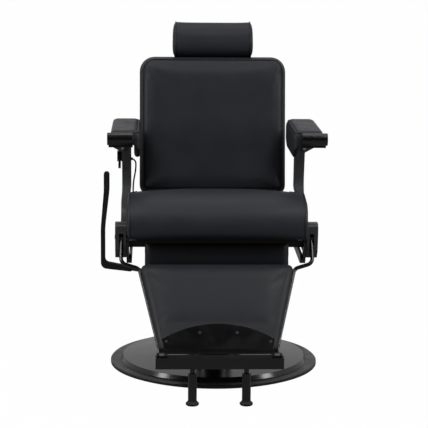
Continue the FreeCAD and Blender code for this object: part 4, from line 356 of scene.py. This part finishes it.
def cord_round(path, radius, normal, sides=8):
    """A round cord along a closed loop.

    A circle is carried along it, in the plane of the loop's sideways vector and its normal.
    """
    along = np.roll(path, -1, axis=0) - np.roll(path, 1, axis=0)
    along /= np.linalg.norm(along, axis=1)[:, None]
    out = np.cross(along, np.asarray(normal, float))
    out /= np.linalg.norm(out, axis=1)[:, None]
    third = np.cross(along, out)
    turn = np.linspace(0, 2 * math.pi, sides, endpoint=False)
    circle = out[:, None] * np.cos(turn)[None, :, None] + third[:, None] * np.sin(turn)[None, :, None]
    points = (path[:, None] + radius * circle).reshape(-1, 3)
    number = np.arange(len(path) * sides).reshape(len(path), sides)
    ahead = np.roll(number, -1, axis=0)
    faces = np.stack([number, np.roll(number, -1, axis=1), np.roll(ahead, -1, axis=1), ahead], axis=-1)
    return points, faces.reshape(-1, 4)


def leaned(points, axis):
    """Points (across, backwards, up) of a leaning piece, turned about its hinge into the chair's frame."""
    y0, z0, degrees = axis
    turn = math.radians(degrees)
    back, up = points[:, 1], points[:, 2]
    y = y0 + back * math.cos(turn) + up * math.sin(turn)
    z = z0 - back * math.sin(turn) + up * math.cos(turn)
    return np.stack([points[:, 0], y, z], axis=1)


def own_rows(piece, axis=UPRIGHT):
    """A piece's points in its own upright axes, in millimetres: across, backwards, up."""
    place = np.empty(len(piece.data.vertices) * 3)
    piece.data.vertices.foreach_get("co", place)
    place = place.reshape(-1, 3) / MM
    y0, z0, degrees = axis
    turn = math.radians(degrees)
    y, z = place[:, 1] - y0, place[:, 2] - z0
    back = y * math.cos(turn) - z * math.sin(turn)
    up = y * math.sin(turn) + z * math.cos(turn)
    return np.stack([place[:, 0], back, up], axis=1)


def own_box(node, axis=UPRIGHT):
    """Lowest and highest corner of a solid in its own upright axes, in millimetres."""
    rows = own_rows(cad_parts[node], axis)
    return rows.min(axis=0), rows.max(axis=0)


# Settings shown in the sidebar


class ChairSettings(bpy.types.PropertyGroup):
    """Sizes and colours that a user would change."""

    piping_radius: bpy.props.FloatProperty(
        name="Piping radius",
        description="Radius of the covered cord in the seams",
        default=2.6 * MM,
        min=1.0 * MM,
        max=6.0 * MM,
        precision=4,
        unit="LENGTH",
    )
    pucker: bpy.props.FloatProperty(
        name="Pucker",
        description="Depth of the small folds beside the seams",
        default=0.35 * MM,
        min=0.0,
        precision=5,
        unit="LENGTH",
    )
    swell: bpy.props.FloatProperty(
        name="Swell",
        description="Cloth pressure that swells the cushions",
        default=4.0,
        min=0.0,
    )
    calf_head: bpy.props.FloatProperty(
        name="Calf pad head",
        description="Width of the calf pad at its top",
        default=470.0 * MM,
        min=100.0 * MM,
        unit="LENGTH",
    )
    calf_foot: bpy.props.FloatProperty(
        name="Calf pad foot",
        description="Width of the calf pad at its bottom",
        default=348.0 * MM,
        min=100.0 * MM,
        unit="LENGTH",
    )
    floor_colour: bpy.props.FloatVectorProperty(
        name="Floor",
        description="Colour of the studio floor",
        subtype="COLOR",
        size=4,
        default=linear("#8c8c8c"),
    )


def settings():
    """The settings of the scene in use."""
    return bpy.context.scene.barber_chair


def in_mm(name):
    """One length of the settings, in millimetres."""
    return getattr(settings(), name) / MM


# Pieces from arrays


def finish_named(name):
    """The material of that name, which the finishing operator has made."""
    return bpy.data.materials[name]


def mesh_piece(name, points, faces, finish, body):
    """A smooth object at the origin from points in millimetres and faces as lists of point numbers."""
    mesh = bpy.data.meshes.new(name)
    mesh.from_pydata((np.asarray(points) * MM).tolist(), [], [list(face) for face in faces])
    build = bmesh.new()
    build.from_mesh(mesh)
    bmesh.ops.remove_doubles(build, verts=build.verts, dist=1e-6)
    bmesh.ops.recalc_face_normals(build, faces=build.faces)
    build.to_mesh(mesh)
    build.free()
    mesh.polygons.foreach_set("use_smooth", [True] * len(mesh.polygons))
    mesh.materials.append(finish_named(finish))
    piece = bpy.data.objects.new(name, mesh)
    bpy.context.collection.objects.link(piece)
    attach(piece, body)
    return piece


def smoothed(piece):
    """One level of subdivision, the same in the view and the render."""
    finer = piece.modifiers.new("smooth", "SUBSURF")
    finer.levels = 1
    finer.render_levels = 1


def cover(name, points, faces, body):
    """The cover of one cushion or pad."""
    return mesh_piece(name, points, faces, "pebbled_leatherette", body)


def welt(name, path, radius, normal, body):
    """Piping: a covered cord along a closed seam."""
    points, faces = cord_round(path, radius, normal)
    smoothed(mesh_piece(name, points, faces, "leatherette_piping", body))


def inflate(piece, loose, cap):
    """Swells a cushion as cloth with its seams and back held.

    How far a point has moved is pressed under the cap, in millimetres, as a hyperbolic tangent.
    """
    mesh = piece.data
    held = piece.vertex_groups.new(name="held")
    held.add([int(k) for k in np.flatnonzero(~loose)], 1.0, "REPLACE")
    cloth = piece.modifiers.new("swell", "CLOTH")
    fabric = cloth.settings
    fabric.quality = 6
    fabric.mass = 0.3
    fabric.tension_stiffness = 40
    fabric.compression_stiffness = 40
    fabric.shear_stiffness = 20
    fabric.bending_stiffness = 2.0
    fabric.vertex_group_mass = "held"
    fabric.use_pressure = True
    fabric.uniform_pressure_force = settings().swell
    fabric.effector_weights.gravity = 0
    cloth.collision_settings.use_collision = False
    scene = bpy.context.scene
    last_step = 20
    for step in range(1, last_step + 1):
        scene.frame_set(step)
    shaped = piece.evaluated_get(bpy.context.evaluated_depsgraph_get()).to_mesh()
    size = len(mesh.vertices) * 3
    before, after = np.empty(size), np.empty(size)
    mesh.vertices.foreach_get("co", before)
    shaped.vertices.foreach_get("co", after)
    move = (after - before).reshape(-1, 3)
    far = np.maximum(np.linalg.norm(move, axis=1), 1e-9)
    limit = cap * MM
    move *= (limit * np.tanh(far / limit) / far)[:, None]
    piece.modifiers.remove(cloth)
    piece.vertex_groups.remove(held)
    mesh.vertices.foreach_set("co", before + move.reshape(-1))
    mesh.update()
    scene.frame_set(1)


# One operator for each group of pieces


class CHAIR_OT_finishes(bpy.types.Operator):
    """Make the materials and put them on the pieces that come from the solid model"""

    bl_idname = "barber_chair.finishes"
    bl_label = "Finishes"

    def execute(self, context):
        made = {
            "black_leatherette": leatherette(),
            "gloss_black_metal": painted_metal("gloss_black_enamel", "#0c0c0d", 0.14, 0.22, 0.015, 1.2),
            "satin_black_metal": painted_metal("satin_black_powder_coat", "#121213", 0.34, 0.46, 0.06, 0.8),
            "black_rubber": moulded_rubber(),
            "black_plastic": moulded_abs(),
            "bright_steel": chromed_steel(),
            "plain_steel": zinc_steel(),
            "plywood": stained_plywood(),
        }
        piping_leatherette()
        # Painted reflection: the arm frames get a lighter grey copy of the satin black paint, whose grey
        # stands in for the broad light that their front faces reflect
        casting_painted_reflection = painted_metal("satin_black_casting", "#3a3b3d", 0.36, 0.48, 0.1, 1.5)
        # Pieces whose finish isn't the one of their slot
        special = {
            "kick_plate_screws": blackened_steel(),
            "arm_frame_left": casting_painted_reflection,
            "arm_frame_right": casting_painted_reflection,
            "support_legs": made["gloss_black_metal"],
        }
        for name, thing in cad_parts.items():
            for place in thing.material_slots:
                base = place.material.name.split(".")[0]
                if base not in made:
                    raise RuntimeError(f"{name} has the unknown finish {base}")
                place.material = special.get(name, made[base])
        return {"FINISHED"}


class CHAIR_OT_seat(bpy.types.Operator):
    """Seat cushion: one panel wrapped over top and front, two side panels, piping between them"""

    bl_idname = "barber_chair.seat"
    bl_label = "Seat cushion"

    def execute(self, context):
        low, high = own_box("seat_cushion")
        board_gap, side_crown, side_edge, side_inset = 0.3, 7.5, 26, 8
        front, rear, bottom, top = low[1], high[1], low[2] + board_gap, high[2]
        seam_x = high[0] - side_inset
        # The top falls to the rear; its front corner lies above the box and is cut off by the roll
        fall, above, roll = 48, 14, 107
        corners = [
            (front, bottom, 24),
            (rear, bottom, 10),
            (rear, top - fall, 28),
            (front, top + above, roll),
        ]
        counts = (42, 12)
        loop = rounded_outline(corners, counts * 2)
        x = np.linspace(-seam_x, seam_x, 53)
        # The cover pulls in towards the side seams; where its normal points down it stays flat
        pull = 7.0
        free = np.clip(1.4 + 2 * outward(loop)[:, 1], 0, 1)
        offsets = [-pull * abs(share) ** 4 * free for share in x / seam_x]
        points, faces, seams = boxed_cushion(
            loop, counts, list(x), offsets, (side_crown, side_crown), (side_edge,) * 4, seed=3.0
        )
        piece = cover("seat_upholstery", self.narrowed(points[:, FACING_SIDE], front, rear), faces, "seat")
        place = own_rows(piece)
        seam = seam_x * self.narrowing(place[:, 1], front, rear)
        held_base, held_seam = 6, 1
        held = (place[:, 2] < bottom + held_base) | (np.abs(np.abs(place[:, 0]) - seam) < held_seam)
        inflate(piece, ~held, cap=5)
        smoothed(piece)
        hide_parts("seat_cushion")
        for side, seam in zip(("right", "left"), seams):
            path = self.narrowed(seam[:, FACING_SIDE], front, rear)
            welt(f"seat_piping_{side}", path, in_mm("piping_radius"), (1, 0, 0), "seat")
        return {"FINISHED"}

    def narrowing(self, y, front, rear):
        """Width in plan as a share of the front's: a smooth step down by 7 % over the rear two thirds."""
        share = np.clip((y - front) / (rear - front) * 1.5 - 0.5, 0, 1)
        return 1 - 0.07 * share**2 * (3 - 2 * share)

    def narrowed(self, points, front, rear):
        """Points of the seat, drawn in sideways towards the rear."""
        return np.column_stack([points[:, 0] * self.narrowing(points[:, 1], front, rear), points[:, 1:]])


class CHAIR_OT_apron(bpy.types.Operator):
    """Padded apron on its board under the front of the seat"""

    bl_idname = "barber_chair.apron"
    bl_label = "Front apron"

    def execute(self, context):
        low, high = own_box("front_apron")
        counts = (44, 9)
        low_corner, high_corner = 16, 8
        corners = [
            (low[0], low[2], low_corner),
            (high[0], low[2], low_corner),
            (high[0], high[2], high_corner),
            (low[0], high[2], high_corner),
        ]
        loop = rounded_outline(corners, counts * 2)
        depths = [high[1] - 6.7, high[1] - 4.7, high[1] - 2.2, high[1]]
        room_to_swell, held_seam = 2, 1
        crown = depths[0] - low[1] - room_to_swell
        points, faces, _ = boxed_cushion(
            loop, counts, depths, [-1.0, 0.0, 0.0, -1.0], (crown, 0.0), (46, 24, 38, 24), seed=5.0
        )
        piece = cover("apron_upholstery", points[:, FACING_FRONT], faces, "seat")
        inflate(piece, own_rows(piece)[:, 1] < depths[0] - held_seam, cap=room_to_swell)
        smoothed(piece)
        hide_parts("front_apron")
        return {"FINISHED"}


class CHAIR_OT_back(bpy.types.Operator):
    """Back cushion: a boxed cushion with piping round its front panel"""

    bl_idname = "barber_chair.back"
    bl_label = "Back cushion"

    def execute(self, context):
        low, high = own_box("back_cushion", BACK_AXIS)
        crown, room_to_swell = 14.0, 2
        wide, seam_depth, rear = high[0], low[1] + crown + room_to_swell, high[1]
        counts = (44, 42)
        low_corner, high_corner = 26, 48
        corners = [
            (-wide, low[2], low_corner),
            (wide, low[2], low_corner),
            (wide, high[2], high_corner),
            (-wide, high[2], high_corner),
        ]
        loop = rounded_outline(corners, counts * 2)
        # The boxing bulges as a parabola: 12 mm inside the outline at the front seam, 5 mm at the rear
        share = np.linspace(0, 1, 10)
        offsets = -34 * share**2 + 41 * share - 12
        depths = seam_depth + share * (rear - seam_depth)
        points, faces, seams = boxed_cushion(
            loop, counts, list(depths), list(offsets), (crown, 0.0), (34, 30, 34, 30), seed=7.0
        )
        piece = cover("back_upholstery", leaned(points[:, FACING_FRONT], BACK_AXIS), faces, "back")
        own = own_rows(piece, BACK_AXIS)
        held_seam, held_piping, held_rear = 1, 6, 8
        front_panel = own[:, 1] < seam_depth - held_seam
        band = (own[:, 1] > seam_depth + held_piping) & (own[:, 1] < rear - held_rear)
        inflate(piece, front_panel | band, cap=6)
        smoothed(piece)
        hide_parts("back_cushion")
        proud = 0.8
        seam = leaned(seams[0][:, FACING_FRONT] - np.array([0, proud, 0]), BACK_AXIS)
        turn = math.radians(BACK_AXIS[2])
        through = (0, math.cos(turn), -math.sin(turn))
        welt("back_piping", seam, in_mm("piping_radius"), through, "back")
        return {"FINISHED"}


class CHAIR_OT_headrest(bpy.types.Operator):
    """Headrest: a D-shaped bolster with bulged end panels and piping at their seams"""

    bl_idname = "barber_chair.headrest"
    bl_label = "Headrest"

    def execute(self, context):
        low, high = own_box("headrest_cushion", BACK_AXIS)
        front, rear, bottom, top = low[1], high[1], low[2], high[2]
        end_crown, end_edge, end_inset = 9.5, 40, 10
        seam_x = high[0] - end_inset
        corners = [(front, bottom, 42), (rear, bottom, 15), (rear, top, 15), (front, top, 48)]
        counts = (10, 14)
        loop = rounded_outline(corners, counts * 2)
        x = np.linspace(-seam_x, seam_x, 31)
        # The underside stands on the back; the top is drawn in by 3 mm, and by 0.6 mm at the seams
        stands = np.clip(0.6 - outward(loop)[:, 1], 0, 1)
        offsets = [0.8 * stands - (3.0 - 2.4 * share**4) * (1 - stands) for share in x / seam_x]
        points, faces, seams = boxed_cushion(
            loop, counts, list(x), offsets, (end_crown, end_crown), (end_edge,) * 4, seed=11.0
        )
        place = leaned(self.tapered(points[:, FACING_SIDE], bottom, top), BACK_AXIS)
        piece = cover("headrest_upholstery", place, faces, "headrest")
        own = own_rows(piece, BACK_AXIS)
        held_rear, held_seam = 4, 3
        held = (own[:, 1] > rear - held_rear) | (np.abs(np.abs(own[:, 0]) - seam_x) < held_seam)
        inflate(piece, ~held, cap=1.5)
        smoothed(piece)
        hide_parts("headrest_cushion")
        for side, seam in zip(("right", "left"), seams):
            path = leaned(self.tapered(seam[:, FACING_SIDE], bottom, top), BACK_AXIS)
            welt(f"headrest_piping_{side}", path, in_mm("piping_radius") * 0.9, (1, 0, 0), "headrest")
        return {"FINISHED"}

    def tapered(self, points, bottom, top):
        """Points of the headrest, narrower by 2 % at its top."""
        share = 1 - 0.02 * (points[:, 2] - bottom) / (top - bottom)
        return np.column_stack([points[:, 0] * share, points[:, 1:]])


class CHAIR_OT_arm_pads(bpy.types.Operator):
    """Arm pads: a hooked section over the arm plate with a hanging inner panel, piping round the top"""

    bl_idname = "barber_chair.arm_pads"
    bl_label = "Arm pads"

    def execute(self, context):
        low, high = own_box("arm_pad_left")
        plate_low, _ = own_box("arm_plate_left")
        plate_gap, skirt_height = 3.4, 50.4
        inner, outer, skirt = low[0], high[0], plate_low[0] - plate_gap
        bottom, ledge, top = low[2], low[2] + skirt_height, high[2]
        front, rear = low[1], high[1]
        section = [
            (inner, bottom, 9),
            (skirt, bottom, 9),
            (skirt, ledge, 1),
            (outer, ledge, 5),
            (outer, top, 16),
            (inner, top, 22),
        ]
        loop = rounded_outline(section, (18, 8, 16, 16), picks=(1, 3, 4, 5))
        y = np.linspace(front, rear, 40)
        inner_inset, outer_inset, end_inset, drop = 6.6, 4.8, 5, 5.6
        near = (inner + inner_inset, front + end_inset)
        far = (outer - outer_inset, rear - end_inset)
        for side, sign in (("left", 1), ("right", -1)):
            self.sweep(side, sign, loop, y, plate_low[2])
            self.piping(side, sign, near, far, top - drop)
        return {"FINISHED"}

    def sweep(self, side, sign, loop, y, hang):
        """The section carried along the arm, with rounded ends.

        What hangs below the given height is shortened towards both ends by a power of a quarter sine.
        """
        front, rear = y[0], y[-1]
        normal = outward(loop)
        end_round = 12.0
        ease = end_round * (1 - rounding(np.minimum(y - front, rear - y), end_round))
        rows = loop[None] - normal[None] * ease[:, None, None]
        least, power = 0.14, 1.3
        hangs = 1.0
        for run, reach in ((y - front, 66), (rear - y, 58)):
            quarter = np.sin(0.5 * math.pi * np.clip(run / reach, 0, 1))
            hangs = hangs * (least + (1 - least) * quarter**power)
        z = rows[..., 1]
        z = np.where(z < hang, hang - (hang - z) * hangs[:, None], z)
        seam_drop, seam_fade = 8, 9
        folds = in_mm("pucker") * ripple(y, 13.0)[:, None]
        folds = folds * np.exp(-np.abs(z - z.max() + seam_drop) / seam_fade)
        x = rows[..., 0] + np.where(normal[None, :, 0] < -0.6, -folds, 0)
        points = np.stack([x * sign, np.broadcast_to(y[:, None], x.shape), z], axis=-1)
        steps, size = x.shape
        number = np.arange(steps * size).reshape(steps, size)
        ahead = np.roll(number, -1, axis=1)
        walls = np.stack([number[:-1], ahead[:-1], ahead[1:], number[1:]], axis=-1).reshape(-1, 4)
        faces = [*walls, number[0], number[-1][::-1]]
        piece = cover(f"arm_upholstery_{side}", points.reshape(-1, 3), faces, "seat")
        smoothed(piece)
        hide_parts(f"arm_pad_{side}")

    def piping(self, side, sign, near, far, height):
        """A cord round the top panel, on the shoulder of the section."""
        corner = 10
        corners = [(near[0], near[1]), (far[0], near[1]), (far[0], far[1]), (near[0], far[1])]
        loop = rounded_outline([(*place, corner) for place in corners], (16, 40, 16, 40))
        path = np.column_stack([loop[:, 0] * sign, loop[:, 1], np.full(len(loop), height)])
        welt(f"arm_piping_{side}", path, in_mm("piping_radius") * 0.8, (0, 0, 1), "seat")


class CHAIR_OT_calf_pad(bpy.types.Operator):
    """Calf pad: a padded board, narrower at the bottom, flat under the kick plate"""

    bl_idname = "barber_chair.calf_pad"
    bl_label = "Calf pad"

    def execute(self, context):
        low, high = own_box("calf_pad", LEG_AXIS)
        foot, head, rear = low[2], high[2], high[1]
        narrow, wide = in_mm("calf_foot") / 2, in_mm("calf_head") / 2
        counts = (42, 28)
        corners = [(-narrow, foot, 13), (narrow, foot, 13), (wide, head, 16), (-wide, head, 16)]
        loop = rounded_outline(corners, counts * 2)
        depths = [rear - 14, rear - 9, rear - 4, rear - 0.2]
        points, faces, _ = boxed_cushion(
            loop, counts, depths, [0.0, 0.4, 0.0, -1.5], (19.6, 0.0), (6, 48, 40, 48), seed=17.0
        )
        piece = cover("calf_upholstery", leaned(points[:, FACING_FRONT], LEG_AXIS), faces, "leg_rest")
        own = own_rows(piece, LEG_AXIS)
        # The part that the kick plate covers doesn't swell
        held_seam, plate_height = 2, 100
        loose = (own[:, 1] < depths[0] - held_seam) & (own[:, 2] > foot + plate_height)
        inflate(piece, loose, cap=4)
        smoothed(piece)
        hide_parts("calf_pad")
        return {"FINISHED"}


class CHAIR_OT_stage(bpy.types.Operator):
    """Pale floor, white surroundings, soft lamps and the camera"""

    bl_idname = "barber_chair.stage"
    bl_label = "Stage"

    def execute(self, context):
        self.floor(context)
        self.surroundings(context)
        self.lamps(context)
        self.camera(context)
        context.scene.view_settings.view_transform = "Standard"
        return {"FINISHED"}

    def floor(self, context):
        """A wide flat sheet, white to the camera, faint in reflections, that takes the chair's shadow."""
        reach, in_reflections, most = 30.0, 0.06, 0.99
        mesh = bpy.data.meshes.new("studio_floor")
        corners = [(-reach, -reach, 0), (reach, -reach, 0), (reach, reach, 0), (-reach, reach, 0)]
        mesh.from_pydata(corners, [], [(0, 1, 2, 3)])
        sheet = bpy.data.objects.new("studio_floor", mesh)
        context.collection.objects.link(sheet)
        material = bpy.data.materials.new("matt_white_floor")
        material.use_nodes = True
        tree = material.node_tree
        tree.nodes.clear()
        ray = add_node(tree, "ShaderNodeLightPath").outputs
        mirrored = add_node(
            tree, "ShaderNodeMath", [(0, ray["Is Glossy Ray"])], [(1, in_reflections)], operation="MULTIPLY"
        )
        shown = mirrored
        for kind in ("Is Camera Ray", "Is Transmission Ray"):
            shown = add_node(
                tree, "ShaderNodeMath", [(0, shown.outputs[0]), (1, ray[kind])], operation="MAXIMUM"
            )
        share = add_node(tree, "ShaderNodeMath", [(0, shown.outputs[0])], [(1, most)], operation="MULTIPLY")
        matt = add_node(tree, "ShaderNodeBsdfDiffuse", values=[("Color", settings().floor_colour)])
        glow = add_node(tree, "ShaderNodeEmission", values=[("Strength", 1.0)])
        both = add_node(
            tree, "ShaderNodeMixShader", [(0, share.outputs[0]), (1, matt.outputs[0]), (2, glow.outputs[0])]
        )
        add_node(tree, "ShaderNodeOutputMaterial", [("Surface", both.outputs[0])])
        mesh.materials.append(material)

    def surroundings(self, context):
        """White to the camera; a soft fill light; in reflections pale behind the chair, dark in front."""
        world = bpy.data.worlds.new("white_studio")
        context.scene.world = world
        world.use_nodes = True
        tree = world.node_tree
        tree.nodes.clear()
        ray = add_node(tree, "ShaderNodeLightPath").outputs
        place = add_node(tree, "ShaderNodeTexCoord")
        axes = add_node(tree, "ShaderNodeSeparateXYZ", [("Vector", place.outputs["Generated"])])
        behind = add_node(
            tree,
            "ShaderNodeMapRange",
            [("Value", axes.outputs["Y"])],
            [("From Min", -0.35), ("From Max", 0.1), ("To Min", 0.03), ("To Max", 0.55)],
        )
        shown = add_node(
            tree,
            "ShaderNodeMath",
            [(0, ray["Is Glossy Ray"]), (1, ray["Is Transmission Ray"])],
            operation="MAXIMUM",
        )
        fill = add_node(tree, "ShaderNodeBackground", values=[("Color", WHITE), ("Strength", 0.05)])
        mirrored = add_node(
            tree, "ShaderNodeBackground", [("Strength", behind.outputs[0])], [("Color", WHITE)]
        )
        white = add_node(tree, "ShaderNodeBackground", values=[("Color", WHITE), ("Strength", 1.0)])
        inside = add_node(
            tree,
            "ShaderNodeMixShader",
            [(0, shown.outputs[0]), (1, fill.outputs[0]), (2, mirrored.outputs[0])],
        )
        both = add_node(
            tree,
            "ShaderNodeMixShader",
            [(0, ray["Is Camera Ray"]), (1, inside.outputs[0]), (2, white.outputs[0])],
        )
        add_node(tree, "ShaderNodeOutputWorld", [("Surface", both.outputs[0])])

    def lamps(self, context):
        """Area lamps, as name, place, aim, width and height in metres, and power in watts."""
        rows = (
            ("left_softbox", (-1.3, -1.5, 3.1), (0.0, -0.1, 0.6), 1.0, 1.0, 34.0),
            ("right_softbox", (1.3, -1.5, 3.1), (0.0, -0.1, 0.6), 1.0, 1.0, 34.0),
            ("overhead_softbox", (0.0, 0.25, 3.2), (0.0, -0.1, 0.5), 2.2, 1.5, 13.0),
            ("left_strip", (-3.0, -1.0, 1.6), (0.0, 0.0, 0.6), 0.6, 1.8, 36.0),
            ("right_strip", (3.0, -1.0, 1.6), (0.0, 0.0, 0.6), 0.6, 1.8, 36.0),
        )
        for name, place, aim, width, height, power in rows:
            data = bpy.data.lights.new(name, "AREA")
            data.shape = "RECTANGLE"
            data.size = width
            data.size_y = height
            data.energy = power
            lamp = bpy.data.objects.new(name, data)
            lamp.location = place
            toward = np.subtract(aim, place)
            level = math.hypot(toward[0], toward[1])
            lamp.rotation_euler = (math.atan2(level, -toward[2]), 0.0, math.atan2(-toward[0], toward[1]))
            context.collection.objects.link(lamp)

    def camera(self, context):
        """A long lens, 5.2 m in front of the column and 1.4 m up, that looks 10 degrees down."""
        heading, down, roll = -2.06, 10.04, 0.46
        data = bpy.data.cameras.new("photo_camera")
        data.sensor_width = 36.0
        data.lens = 139.8
        data.clip_end = 200.0
        eye = bpy.data.objects.new("photo_camera", data)
        eye.location = (-0.1887, -5.1966, 1.403)
        turns = ((heading, "Z"), (90 - down, "X"), (roll, "Z"))
        first, second, third = [Matrix.Rotation(math.radians(turn), 3, axis) for turn, axis in turns]
        eye.rotation_euler = (first @ second @ third).to_euler()
        context.collection.objects.link(eye)
        context.scene.camera = eye


OPERATORS = (
    CHAIR_OT_finishes,
    CHAIR_OT_seat,
    CHAIR_OT_apron,
    CHAIR_OT_back,
    CHAIR_OT_headrest,
    CHAIR_OT_arm_pads,
    CHAIR_OT_calf_pad,
    CHAIR_OT_stage,
)


class CHAIR_PT_panel(bpy.types.Panel):
    """The chair's settings and operators"""

    bl_label = "Barber chair"
    bl_idname = "CHAIR_PT_panel"
    bl_space_type = "VIEW_3D"
    bl_region_type = "UI"
    bl_category = "Chair"

    def draw(self, context):
        for name in ("piping_radius", "pucker", "swell", "calf_head", "calf_foot", "floor_colour"):
            self.layout.prop(context.scene.barber_chair, name)
        for operator in OPERATORS:
            self.layout.operator(operator.bl_idname)


CLASSES = (ChairSettings, *OPERATORS, CHAIR_PT_panel)


def register():
    """Adds the classes and the scene's settings."""
    for item in CLASSES:
        bpy.utils.register_class(item)
    bpy.types.Scene.barber_chair = bpy.props.PointerProperty(type=ChairSettings)


def unregister():
    """Takes them away again, last first."""
    del bpy.types.Scene.barber_chair
    for item in reversed(CLASSES):
        bpy.utils.unregister_class(item)


def main():
    """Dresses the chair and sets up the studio."""
    register()
    for operator in OPERATORS:
        group, name = operator.bl_idname.split(".")
        getattr(getattr(bpy.ops, group), name)()


if __name__ == "__main__":
    main()
